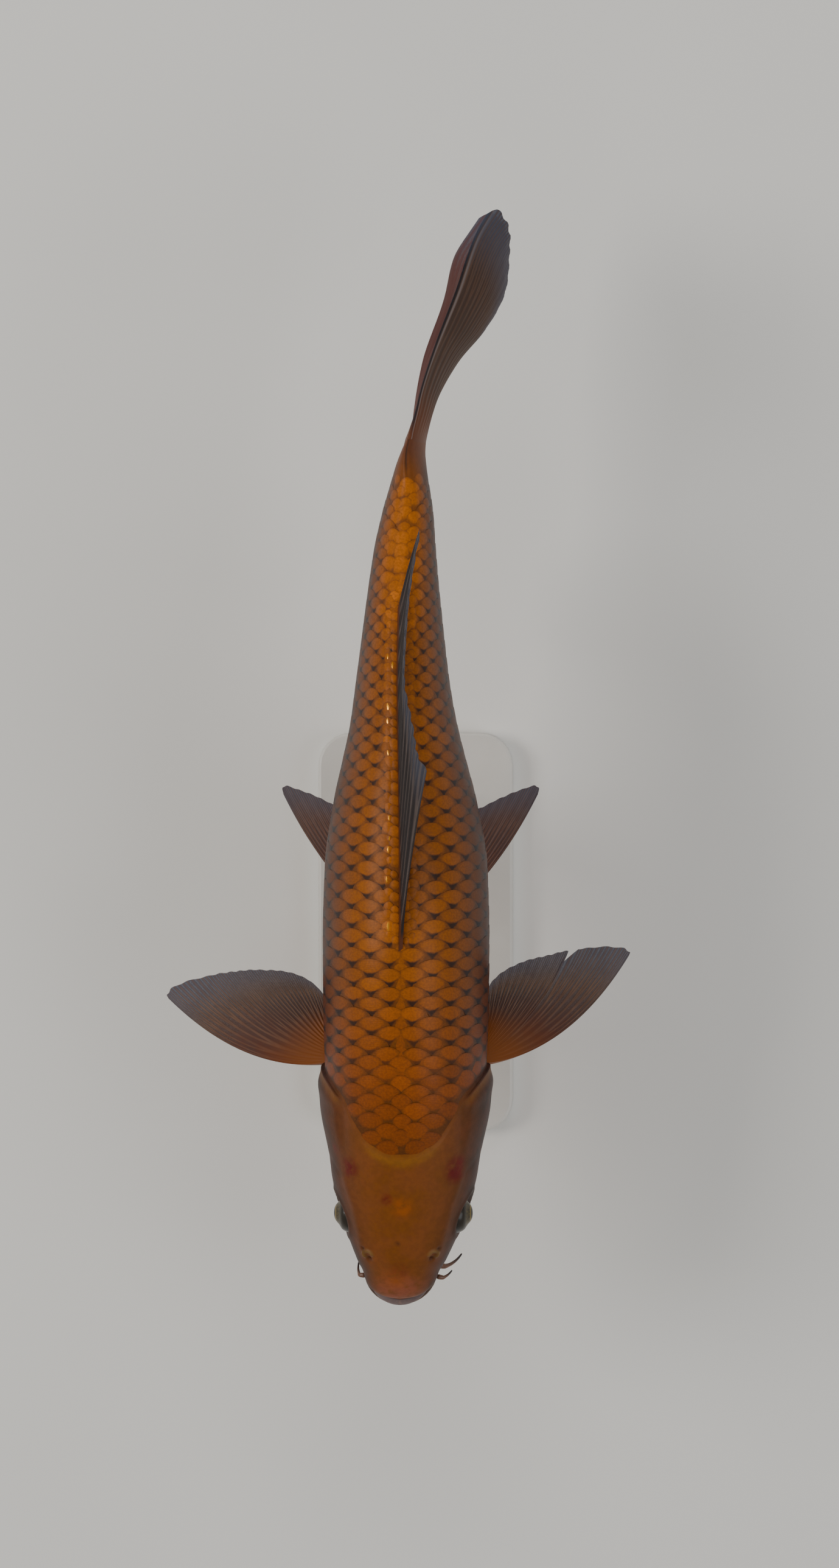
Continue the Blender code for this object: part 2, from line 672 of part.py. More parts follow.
def main():
    for piece in list(bpy.data.objects):
        bpy.data.objects.remove(piece, do_unlink=True)
    fin = material("fin", COLOUR_FIN, 0.45)
    lip = material("lip", COLOUR_LIP, 0.4)
    head = build_head(material("head skin", COLOUR_HEAD, 0.35))
    build_trunk(material("back skin", COLOUR_BACK, 0.35))
    build_eyes(head, material("eye", COLOUR_EYE, 0.1))
    build_lips(head, lip)
    build_barbels(lip)
    build_gill_covers(material("cheek skin", COLOUR_FLANK, 0.35))
    build_tail_fin(fin)
    build_dorsal_fin(fin)
    build_anal_fin(fin)
    build_pectoral_fins(fin)
    build_pelvic_fins(fin)
    build_stand(material("painted base", COLOUR_BASE, 0.5),
                material("steel rod", COLOUR_ROD, 0.3, 1.0))


main()
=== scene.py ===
"""A life-size koi carp on its display stand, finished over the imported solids."""

import math
from functools import partial

import bpy
import numpy as np
from bpy.props import FloatProperty, IntProperty, PointerProperty, StringProperty
from mathutils import Matrix, Vector


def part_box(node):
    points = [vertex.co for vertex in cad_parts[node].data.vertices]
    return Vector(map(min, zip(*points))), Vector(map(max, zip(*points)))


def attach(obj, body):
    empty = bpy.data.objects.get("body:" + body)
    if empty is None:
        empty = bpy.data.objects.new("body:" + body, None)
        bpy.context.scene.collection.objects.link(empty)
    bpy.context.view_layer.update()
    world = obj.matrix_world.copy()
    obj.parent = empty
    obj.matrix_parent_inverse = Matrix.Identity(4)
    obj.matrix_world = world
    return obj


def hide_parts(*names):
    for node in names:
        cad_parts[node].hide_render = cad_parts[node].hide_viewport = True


bl_info = {
    "name": "Koi carp display model",
    "version": (1, 0, 0),
    "blender": (4, 5, 0),
    "location": "View3D > Sidebar > Koi",
    "description": "Builds the skin, scales, fins, eyes and barbels of a life-size koi carp",
    "category": "Add Mesh",
}

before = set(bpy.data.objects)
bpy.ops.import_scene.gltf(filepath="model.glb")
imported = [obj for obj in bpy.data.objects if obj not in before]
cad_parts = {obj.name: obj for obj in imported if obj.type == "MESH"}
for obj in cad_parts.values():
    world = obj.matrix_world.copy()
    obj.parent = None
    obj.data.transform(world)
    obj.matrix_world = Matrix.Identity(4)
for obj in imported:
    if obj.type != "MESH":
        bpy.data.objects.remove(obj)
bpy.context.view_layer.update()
MM = 0.001

# ---- the fish's form, in millimetres
# Each curve is (distance behind the snout, size).

SNOUT_Y = -150.0
AXIS_HEIGHT = 120.0
STALK_END = 353.0
HALF_WIDTH = ((1.5, 15.5), (14, 15.7), (20, 18.4), (30, 22.6), (40, 26.0), (50, 28.9), (57, 30.2),
              (70, 31.3), (99, 33.4), (120, 34.1), (150, 34.4), (180, 33.6), (208, 29.4),
              (223, 25.8), (238, 22.3), (253, 19.9), (293, 15.0), (313, 12.6), (327, 10.4),
              (338, 8.0), (348, 5.3), (353, 4.3))
BACK_HEIGHT = ((1.5, 11.0), (10, 15.0), (15, 18.0), (25, 23.6), (41, 30.6), (60, 38.0), (80, 45.0),
               (99, 50.0), (125, 55.0), (150, 57.5), (180, 57.0), (210, 54.0), (240, 48.5),
               (262, 43.0), (290, 34.5), (310, 28.0), (325, 24.3), (337, 22.6), (353, 22.8))
BELLY_DEPTH = ((1.5, 14.5), (10, 16.0), (15, 18.4), (25, 23.0), (41, 28.6), (60, 33.6), (80, 37.8),
               (99, 41.0), (125, 44.5), (150, 46.5), (180, 46.5), (210, 43.5), (240, 38.0),
               (262, 33.0), (290, 24.5), (310, 19.8), (325, 17.8), (337, 17.6), (353, 19.5))
# The power that shapes a cross-section: 2 is an ellipse, more is squarer
SQUARENESS = ((1.5, 2.2), (30, 2.4), (60, 2.35), (120, 2.2), (353, 2.0))
SIDEWAYS_BEND = ((0, -2.5), (20, -1.6), (41, -0.7), (84, -0.1), (144, 0.2), (174, 0.2),
                 (233, -0.7), (258, -1.2), (283, -1.0), (308, -0.4), (323, 0.7), (337, 1.7),
                 (343, 2.2), (348, 3.0), (353, 4.3))
SNOUT_FRONT = 1.5
SNOUT_ROUNDING = 14.0
# From here on the ridge and the keel of the tail stalk lean to the right, by this much
STALK_CUP_START = 330.0
STALK_CUP = 2.2

# Head: eyes, lips, barbels and gill covers
EYE_ALONG = 39.5
EYE_RADIUS = 8.5
EYE_OUT = 19.1
EYE_UP = 7.0
EYE_PROUD = 0.8
ORBIT_RADIUS = 6.6
# Each lip: how far its middle lies behind the snout, its height, the droop of its corners,
# its arch's half-width and depth, and its half-thickness in the middle and at the corners
LIPS = {
    "upper": (2.5, -2.0, 4.4, 11.8, 11.0, 1.8, 1.1),
    "lower": (2.2, -5.6, 3.4, 14.2, 12.4, 1.75, 1.3),
}
# Each barbel: its root's distance behind the snout and angle, its bend, its reach and radius
BARBELS = {
    "barbel_short_left": (12.5, -4, (2.4, 0.4, -1.4), (4.2, 2.8, -4.0), 0.75),
    "barbel_long_left": (16.5, -28, (5.0, 0.2, -3.2), (8.2, 4.8, -7.5), 0.95),
    "barbel_short_right": (13.0, 184, (-1.6, 1.4, -2.6), (-1.0, 5.4, -6.0), 0.75),
    "barbel_long_right": (17.5, 208, (-2.0, 0.2, -4.6), (0.2, 6.4, -11.5), 0.95),
}
# The gill cover: middle and half-height in degrees, front and rear edge, how far the edges
# draw in above and below, and how much it stands out
GILL_MIDDLE = -8.0
GILL_REACH = 54.0
GILL_FRONT = 57.0
GILL_REAR = 99.2
GILL_FRONT_SLOPE = 4.0
GILL_REAR_SLOPE = 14.0
GILL_SWELL = 1.9
GILL_STAND_OFF = 0.9
# Where the scaled coat starts above and below the gill covers, by degrees over the left side
NAPE_EDGE = ((46, 85.2), (55, 76.0), (65, 69.0), (78, 64.5), (90, 62.5))
THROAT_EDGE = ((-90, 74.0), (-76, 78.0), (-62, 85.2))
NOSTRIL_ALONG = 23.5
NOSTRIL_ANGLE = 52.0

# Blotches on the head: distance behind the snout, degrees over the left side, full and outer
# reach, strength, colour
HEAD_BLOTCHES = ((8.0, 90.0, 3.0, 15.0, 0.6, "snout"), (12.5, 94.0, 0.0, 7.0, 0.75, "patch"),
                 (43.6, 90.0, 0.5, 7.0, 0.85, "patch"), (59.5, 131.0, 1.0, 6.5, 1.0, "flush"),
                 (59.0, 47.0, 2.2, 8.0, 1.0, "flush"), (47.0, 99.0, 0.5, 3.6, 0.8, "flush"),
                 (67.0, 148.0, 0.0, 3.5, 0.5, "flush"), (17.0, 90.0, 0.0, 6.0, 0.4, "flush"),
                 (28.5, 92.0, 0.2, 1.8, 0.7, "scale_mark"))

# Scales: pitch along a row, and the rows between the side line and the ridge or keel
SCALE_PITCH = ((60, 7.4), (110, 7.8), (170, 7.7), (230, 7.1), (290, 6.6), (335, 5.8))
ROWS_ABOVE = ((60, 7.0), (100, 7.0), (118, 6.66), (150, 6.7), (175, 6.9), (205, 6.7), (260, 6.0),
              (300, 5.4), (335, 5.0))
# Extra rows of small scales, two beside the dorsal fin, one on the ridge ahead of it and one
# behind it: distance from the ridge, first and last place, step, row spacing, pitch
SMALL_ROWS = {8: (2.4, 152.0, 290.0, 4.3, 2.5, 4.4), 9: (5.0, 153.1, 290.0, 4.3, 2.5, 4.4),
              10: (0.0, 96.0, 151.0, 2.6, 3.6, 6.0), 11: (0.0, 290.0, 334.0, 5.4, 4.2, 6.4)}
ROWS_BELOW = ((60, 6.0), (180, 6.0), (250, 5.0), (300, 4.0), (335, 3.7))
COAT_END = 336.0

# Tail fin, along world Y: its top edge's place sideways, how far its middle bulges to the
# left, and how far its bottom edge is set to the right
TAIL_TOP_LINE = ((203, 3.2), (219, 6.3), (238, 12.6), (261, 21.9), (282, 29.6), (296, 38.0),
                 (304, 43.0))
TAIL_BULGE = ((203, 2.8), (222, 8.0), (236, 12.5), (248, 18.5), (262, 22.2), (276, 24.0),
              (287, 28.5), (300, 34.0))
TAIL_LOWER_SET = ((203, 2.0), (218, 3.4), (243, 7.0), (266, 8.2), (287, 10.7), (303, 10.0))
TAIL_FORK = 42.2
# Each lobe: its length, its root's height and its tip's height
TAIL_UPPER = (91.5, 22.0, 43.0)
TAIL_LOWER = (100.0, 18.8, 41.0)

# Fins on the middle line: world Y of the base's ends, then along the base (share of it, world
# Y of the ray's tip, height, lean to the left)
DORSAL_FRONT = -1.0
DORSAL_REAR = 135.0
DORSAL_EDGE = ((0.0, 69.0, 26.0, 12.0), (0.1, 75.0, 22.5, 8.0), (0.25, 86.0, 19.5, 6.2),
               (0.5, 108.5, 16.5, 2.7), (0.75, 136.0, 14.5, 3.8), (1.0, 165.5, 13.0, 7.3))
ANAL_FRONT = 112.0
ANAL_REAR = 136.0
ANAL_EDGE = ((0.0, 149.0, 30.0), (0.3, 155.0, 24.0), (0.65, 157.0, 15.0), (1.0, 157.0, 8.0))

# Paired fins: (share of the fan, angle back from straight out, reach)
PECTORAL_EDGE = ((0.0, 16.4, 70.5), (0.06, 18.2, 71.0), (0.25, 31.0, 57.0), (0.5, 44.0, 45.5),
                 (0.7, 58.0, 37.0), (0.88, 74.0, 28.5), (1.0, 84.0, 22.0))
PELVIC_EDGE = ((0.0, 48.0, 60.0), (0.1, 50.0, 62.0), (0.3, 55.0, 56.0), (0.6, 64.0, 45.0),
               (0.85, 74.0, 37.0), (1.0, 80.0, 31.0))
# Front and rear end of a left fin's root: X, Y, and height from the body's axis
PECTORAL_ROOT = ((33.2, -51.5, -19.0), (32.6, -38.0, -24.0))
PELVIC_ROOT = ((16.0, 9.5, -45.8), (11.5, 21.5, -47.0))
# Degrees that a pectoral fin is swung back further
PECTORAL_SWEEP = {"left": 16.5, "right": 0.0}
# A split in the fin's edge: share of the fan, half-width, depth
PECTORAL_SPLIT = {"left": (0.31, 0.03, 8.0), "right": None}
# How far a paired fin drops for each millimetre that it reaches out
PAIRED_DROOP = 0.09
# Rays of each fin
TAIL_RAYS = 18
DORSAL_RAYS = 14
ANAL_RAYS = 8
PELVIC_RAYS = 9


# ---- settings a user may change

LENGTH = {"unit": "LENGTH", "subtype": "DISTANCE"}


class KoiSizes(bpy.types.PropertyGroup):
    """Sizes of the fish's coat, fins and lighting."""
    coat_depth: FloatProperty(
        name="Coat depth", description="How deep the scales' roots lie under the body's outline",
        default=0.62 * MM, min=0.2 * MM, max=2 * MM, **LENGTH)
    head_depth: FloatProperty(
        name="Head depth", description="How far the bare skin of the head lies inside the solid",
        default=0.2 * MM, min=0.0, max=1 * MM, **LENGTH)
    scale_bulge: FloatProperty(
        name="Scale bulge", description="How far the middle of each scale swells",
        default=0.2 * MM, min=0.0, max=1 * MM, **LENGTH)
    web_thickness: FloatProperty(
        name="Fin web thickness", description="Thickness of the web between two fin rays",
        default=0.32 * MM, min=0.1 * MM, max=1 * MM, **LENGTH)
    ray_thickness: FloatProperty(
        name="Fin ray thickness", description="Thickness of a fin ray at its middle",
        default=0.62 * MM, min=0.2 * MM, max=2 * MM, **LENGTH)
    pectoral_rays: IntProperty(
        name="Pectoral rays", description="Number of rays in each pectoral fin",
        default=15, min=8, max=20)
    camera_distance: FloatProperty(
        name="Camera distance", description="From the camera to the middle of the fish",
        default=1.9, min=0.5, max=5.0, **LENGTH)


# Colours of the fish and its stand, as sRGB hex values, and what each is
COLOURS = {
    "scale_bright": ("#8E4C02", "Bright middle of a scale on the back"),
    "scale_front": ("#8C3C08", "Redder cast of the scales behind the head"),
    # painted shade: the flank colours are darker and bluer than the back's, as the sides turn from
    # the light above
    "scale_flank_shade": ("#46200A", "Bright middle of a scale on the flank"),
    "scale_belly": ("#C98A4A", "Bright middle of a scale on the belly"),
    "scale_net": ("#6A3804", "Net of scale edges on the back"),
    # painted shade: the net on the flank is darker and bluer, as the sides turn from the light
    # above
    "scale_net_flank_shade": ("#36231C", "Net of scale edges on the flank"),
    "scale_net_belly": ("#B27640", "Net of scale edges on the belly"),
    "scale_mark": ("#341A0A", "Dark wedge at the front of a scale"),
    # painted shade: the wedges on the flank are darker and bluer, as the sides turn from the light
    # above
    "scale_mark_flank_shade": ("#16111A", "Dark wedge of a scale on the flank"),
    "head_top": ("#78420C", "Skin on top of the head"),
    # painted shade: the cheeks are darker than the top of the head, as they turn from the light
    # above
    "head_side_shade": ("#2A1611", "Skin on the cheeks and gill covers"),
    "head_under": ("#C08C5C", "Skin under the head"),
    "snout": ("#9A503A", "Warm patch on the snout"),
    "lip": ("#7C6C6A", "Lips at the front of the mouth"),
    "patch": ("#9A4E06", "Orange patches on nose and forehead"),
    "flush": ("#640E08", "Red blotches on the temples and forehead"),
    "nape": ("#8C5816", "Pale edge of the skin at the nape"),
    "fin_web": ("#4A3834", "Dusky web between the fin rays"),
    "fin_ray": ("#7A5E4C", "Rays of the fins"),
    "fin_root": ("#8A4A10", "Fleshy root of the paired fins"),
    "tail_root": ("#66361A", "Skin where the tail fin starts"),
    "fin_blush": ("#6A3620", "Red blush at the root of the paired fins"),
    "nostril_flap": ("#7A5E34", "Pale flap between the pits of a nostril"),
    # partly painted glint: bright brass streaks on a few scales, metallic like guanine
    "scale_guanine_and_glint": ("#D8942E", "Brassy gleam of a few bare scales by the dorsal fin"),
    "iris_dark": ("#342C1C", "Dark streaks of the iris"),
    "iris_pale": ("#524628", "Pale streaks of the iris"),
    "eye_pupil": ("#050505", "Pupil"),
    "eye_ring": ("#86702E", "Gold ring round the pupil"),
    "eye_rim": ("#2E2820", "Rim of the eyeball"),
    "barbel": ("#7A4E36", "Skin of the barbels"),
    "barbel_speck": ("#4A3830", "Specks on the barbels"),
    "barbel_tip": ("#332A2C", "Tips of the barbels"),
    "tail_web": ("#48342A", "Web of the tail fin"),
    "tail_ray": ("#5A4032", "Rays of the tail fin"),
    "tail_line": ("#1A1820", "Dark first ray of the tail fin"),
    # painted highlight: a pale line beside the first ray of the tail fin
    "tail_highlight": ("#8A7E7C", "Pale line beside the first ray of the tail fin"),
    "tail_lower": ("#603A38", "Redder lower lobe of the tail fin"),
    "dorsal_web": ("#261E1E", "Web of the dorsal fin"),
    "dorsal_ray": ("#544844", "Rays of the dorsal fin"),
    "dorsal_root": ("#5A2E16", "Root of the dorsal fin"),
    "pelvic_web": ("#56423E", "Web of the pelvic fins"),
    "pelvic_ray": ("#785A4E", "Rays of the pelvic fins"),
    "pelvic_root": ("#6A3826", "Root of the pelvic fins"),
    "base_speck": ("#B9B6AE", "Clouds in the base paint"),
    "rod": ("#AAACAE", "Steel of the rods"),
    "rod_line": ("#B4B6B8", "Brushed lines on the rods"),
    "floor_speck": ("#C4C3BE", "Clouds in the floor paint"),
    "fin_edge": ("#52586A", "Thin outer part of the fins"),
    "base_paint": ("#D9D7D1", "Paint on the stand's base"),
    "floor": ("#EFEEEA", "Plain floor"),
}


class KoiColours(bpy.types.PropertyGroup):
    """Colours of the fish and its stand, as sRGB hex values."""
    __annotations__ = {
        key: StringProperty(name=key.replace("_", " "), description=text, default=value)
        for key, (value, text) in COLOURS.items()}


# ---- curves and the body form

def curve(points, at):
    """Values at places along a smooth curve through (place, value) points."""
    places = np.array([p[0] for p in points], float)
    values = np.array([p[1] for p in points], float)
    widths = np.diff(places)
    slopes = np.diff(values) / widths
    before, after = slopes[:-1], slopes[1:]
    same_way = before * after > 0
    total = np.where(same_way, before + after, 1.0)
    joints = np.concatenate([slopes[:1], np.where(same_way, 2 * before * after / total, 0.0),
                             slopes[-1:]])
    at = np.asarray(at, float)
    k = np.clip(np.searchsorted(places, at, side="right") - 1, 0, len(slopes) - 1)
    t = np.clip((at - places[k]) / widths[k], 0.0, 1.0)
    rise = t * t * (3 - 2 * t)
    bent = joints[k] * t * (1 - t) ** 2 - joints[k + 1] * t * t * (1 - t)
    return values[k] * (1 - rise) + values[k + 1] * rise + widths[k] * bent


def smooth_step(t):
    """A smooth rise from 0 to 1."""
    t = np.clip(t, 0.0, 1.0)
    return t * t * (3 - 2 * t)


def unit(vectors):
    """Vectors of length 1."""
    return vectors / np.maximum(np.linalg.norm(vectors, axis=-1, keepdims=True), 1e-9)


def body_surface(along, angle):
    """Points of the body's outline, in millimetres, at distances behind the snout and angles."""
    reach = np.clip((along - SNOUT_FRONT) / SNOUT_ROUNDING, 0.0, 1.0)
    opening = np.sqrt(np.maximum(0.0, 1 - (1 - reach) ** 2))
    power = 2 / curve(SQUARENESS, along)
    cosine, sine = np.cos(angle), np.sin(angle)
    tall = np.where(sine >= 0, curve(BACK_HEIGHT, along), curve(BELLY_DEPTH, along)) * opening
    z = np.sign(sine) * np.abs(sine) ** power
    x = curve(HALF_WIDTH, along) * opening * np.sign(cosine) * np.abs(cosine) ** power
    cup = STALK_CUP * smooth_step((along - STALK_CUP_START) / (STALK_END - STALK_CUP_START))
    x = x + curve(SIDEWAYS_BEND, along) - cup * z * z
    y = SNOUT_Y + along + 0 * x
    return np.stack([x, y, AXIS_HEIGHT + tall * z], -1)


def body_normal(along, angle):
    """Outward directions of the body's outline."""
    lengthwise = body_surface(along + 0.4, angle) - body_surface(along - 0.4, angle)
    around = body_surface(along, angle + 0.02) - body_surface(along, angle - 0.02)
    normal = np.cross(lengthwise, around)
    size = np.linalg.norm(normal, axis=-1, keepdims=True)
    ahead = np.zeros_like(normal)
    ahead[..., 1] = -1.0
    return np.where(size > 1e-9, normal / np.maximum(size, 1e-9), ahead)


def side_angle(angle):
    """Degrees over the fish's side (0) toward the ridge (90), the same on both sides."""
    return np.degrees(np.arcsin(np.clip(np.sin(angle), -1.0, 1.0)))


def gill_share(angle):
    """Where a place lies over the height of the gill cover, from -1 to 1."""
    return (side_angle(angle) - GILL_MIDDLE) / GILL_REACH


def coat_edge(angle):
    """Where the scaled coat starts, behind the snout."""
    degrees = side_angle(angle)
    share = np.clip(gill_share(angle), -1.0, 1.0)
    cover = GILL_REAR - GILL_REAR_SLOPE * share ** 2
    above = curve(NAPE_EDGE, degrees)
    below = curve(THROAT_EDGE, degrees)
    return np.where(degrees > GILL_MIDDLE + GILL_REACH, above,
                    np.where(degrees < GILL_MIDDLE - GILL_REACH, below, cover))


def cover_fade(angle):
    """1 over the gill cover's height and 0 beyond its ends."""
    return smooth_step((1 - np.abs(gill_share(angle))) / 0.16)


def cover_height(along, angle):
    """How far the gill cover stands out of the cheek."""
    share = np.clip(gill_share(angle), -1.0, 1.0)
    front = GILL_FRONT + GILL_FRONT_SLOPE * share ** 2
    t = (along - front) / (coat_edge(angle) - front)
    swell = 0.6 + GILL_SWELL * (1 - share ** 4)
    height = (0.3 + GILL_STAND_OFF * smooth_step((t - 0.7) / 0.3)
              + swell * (1 - 0.45 * smooth_step((t - 0.8) / 0.2)))
    height = height * (1 - 0.38 * smooth_step((t - 0.86) / 0.14))
    return (height - 0.2) * smooth_step(t / 0.65) * cover_fade(angle)


# ---- mesh helpers

def deselect_all():
    """Leave nothing selected, so that an operator acts on the new piece alone."""
    bpy.ops.object.select_all(action="DESELECT")


def settle(piece, name):
    """Name a new piece and its mesh."""
    piece.name = name
    piece.data.name = name
    return piece


def vertex_places(piece):
    """The places of a piece's vertices."""
    flat = np.empty(len(piece.data.vertices) * 3)
    piece.data.vertices.foreach_get("co", flat)
    return flat.reshape(-1, 3)


def move_vertices(piece, places):
    """Set a piece's vertices, given in millimetres."""
    piece.data.vertices.foreach_set("co", (np.asarray(places) * MM).ravel())
    piece.data.update()


def add_grid(name, columns, rows):
    """A flat grid with, for every vertex, its share across and along."""
    deselect_all()
    bpy.ops.mesh.primitive_grid_add(x_subdivisions=columns, y_subdivisions=rows, size=2.0)
    piece = settle(bpy.context.object, name)
    flat = vertex_places(piece)
    return piece, (flat[:, 0] + 1) / 2, (flat[:, 1] + 1) / 2


def add_ball(name, sides, rings):
    """A ball of radius 1 with its poles on Z, and the places of its vertices."""
    deselect_all()
    bpy.ops.mesh.primitive_uv_sphere_add(segments=sides, ring_count=rings, radius=1.0)
    piece = settle(bpy.context.object, name)
    return piece, vertex_places(piece)


def set_attribute(piece, name, values, kind="FLOAT"):
    """Store one number or vector for each vertex."""
    layer = piece.data.attributes.new(name=name, type=kind, domain="POINT")
    key = "value" if kind == "FLOAT" else "vector"
    layer.data.foreach_set(key, np.asarray(values, float).ravel())


def set_place(piece, along, angle):
    """Store the distance behind the snout and the degrees from the ridge of each vertex."""
    degrees = 90 - side_angle(angle)
    set_attribute(piece, "place", np.stack([along, degrees, 0 * along], -1), "FLOAT_VECTOR")


def set_uv(piece, name, values):
    """A UV map that gives every corner its vertex's pair of values."""
    mesh = piece.data
    corners = np.empty(len(mesh.loops), int)
    mesh.loops.foreach_get("vertex_index", corners)
    layer = mesh.uv_layers.get(name) or mesh.uv_layers.new(name=name)
    layer.data.foreach_set("uv", np.asarray(values, float)[corners].ravel())


def select_only(piece):
    """Leave one piece selected and active."""
    deselect_all()
    piece.select_set(True)
    bpy.context.view_layer.objects.active = piece


def face_outward(piece):
    """Turn all faces of a closed piece outward."""
    select_only(piece)
    bpy.ops.object.mode_set(mode="EDIT")
    bpy.ops.mesh.select_all(action="SELECT")
    bpy.ops.mesh.normals_make_consistent(inside=False)
    bpy.ops.object.mode_set(mode="OBJECT")


def finish_piece(piece, material, nodes):
    """Shade a finished piece, give it its material and tie it to the solids it stands for."""
    select_only(piece)
    bpy.ops.object.shade_smooth_by_angle(angle=math.radians(62))
    piece.data.materials.clear()
    piece.data.materials.append(material)
    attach(piece, "root")
    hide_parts(*nodes)


# ---- material helpers

def colour(name):
    """One of the colours in the settings, from its sRGB hex value to a linear one."""
    value = getattr(bpy.context.scene.koi_colours, name)
    parts = [int(value[k:k + 2], 16) / 255 for k in (1, 3, 5)]
    return tuple(c / 12.92 if c <= 0.04045 else ((c + 0.055) / 1.055) ** 2.4
                 for c in parts) + (1.0,)


# Nodes by a short name: type, settings, names of the values in their order, and output.
# A value is a setting where its name is all lower case, and otherwise an input.
NODES = {
    "mix": ("Mix", {"data_type": "RGBA"}, (0, 6, 7), 2),
    "tint": ("Mix", {"data_type": "RGBA", "blend_type": "MULTIPLY", 0: 1.0}, (6, 7), 2),
    "ramp": ("MapRange", {"interpolation_type": "SMOOTHSTEP"},
             ("Value", "From Min", "From Max", "To Min", "To Max"), "Result"),
    "noise": ("TexNoise", {"Roughness": 0.55}, ("Vector", "Scale", "Detail"), "Fac"),
    "wave": ("TexWave", {"bands_direction": "Y"},
             ("Vector", "Scale", "Distortion", "Detail"), "Fac"),
    "bump": ("Bump", {}, ("Strength", "Distance", "Height"), "Normal"),
    "here": ("TexCoord", {}, (), "Object"),
    "stretch": ("Mapping", {}, ("Vector", "Scale"), "Vector"),
    "gap": ("VectorMath", {"operation": "DISTANCE"}, (0, 1), "Value"),
    "number": ("Attribute", {}, ("attribute_name",), "Fac"),
    "vector": ("Attribute", {}, ("attribute_name",), "Vector"),
    "uv": ("UVMap", {}, ("uv_map",), "UV"),
    "x": ("SeparateXYZ", {}, (0,), "X"),
    "y": ("SeparateXYZ", {}, (0,), "Y"),
}
NODES.update({word: ("Math", {"operation": word.upper()}, (0, 1), 0) for word in (
    "add", "subtract", "multiply", "divide", "power", "absolute", "maximum")})

# The film of slime on skin and fins, cured as a thin varnish on the model
SLIME = {"Specular IOR Level": 0.22, "Coat Weight": 0.04, "Coat Roughness": 0.2}


def set_node(node, values):
    """Give a node its settings, and its inputs as values or links."""
    for key, value in values.items():
        if str(key).islower():
            setattr(node, key, value)
        elif isinstance(value, bpy.types.NodeSocket):
            node.id_data.links.new(value, node.inputs[key])
        else:
            node.inputs[key].default_value = value


def add_node(tree, kind, *values):
    """Add one of NODES with its values, and give the socket that it puts out."""
    name, settings, keys, output = NODES[kind]
    node = tree.nodes.new("ShaderNode" + name)
    set_node(node, {**settings, **dict(zip(keys, values))})
    return node.outputs[output]


def new_material(name):
    """A node material, a function that adds nodes to it, and its Principled shader."""
    material = bpy.data.materials.new(name)
    material.use_nodes = True
    tree = material.node_tree
    tree.nodes.clear()
    shader = tree.nodes.new("ShaderNodeBsdfPrincipled")
    set_node(tree.nodes.new("ShaderNodeOutputMaterial"), {"Surface": shader.outputs["BSDF"]})
    return material, partial(add_node, tree), shader


def mottle(add, size, detail=3.0):
    """Cloudy variation with blotches of a size in millimetres, about 0.5 in the middle."""
    return add("noise", add("here"), 1 / (size * MM), detail)


def spread(add, value, middle, width, power=2.0):
    """How many widths a value is from a middle, raised to a power."""
    return add("power", add("absolute", add("divide", add("subtract", value, middle), width)),
               power)


def body_colour(add, back, flank, belly):
    """The fish's colour by degrees from the ridge of its back, with painted shade on the flanks
    and cheeks.
    """
    degrees = add("y", add("vector", "place"))
    upper = add("mix", add("ramp", degrees, 22.0, 78.0), colour(back), colour(flank))
    return add("mix", add("ramp", degrees, 96.0, 150.0), upper, colour(belly))


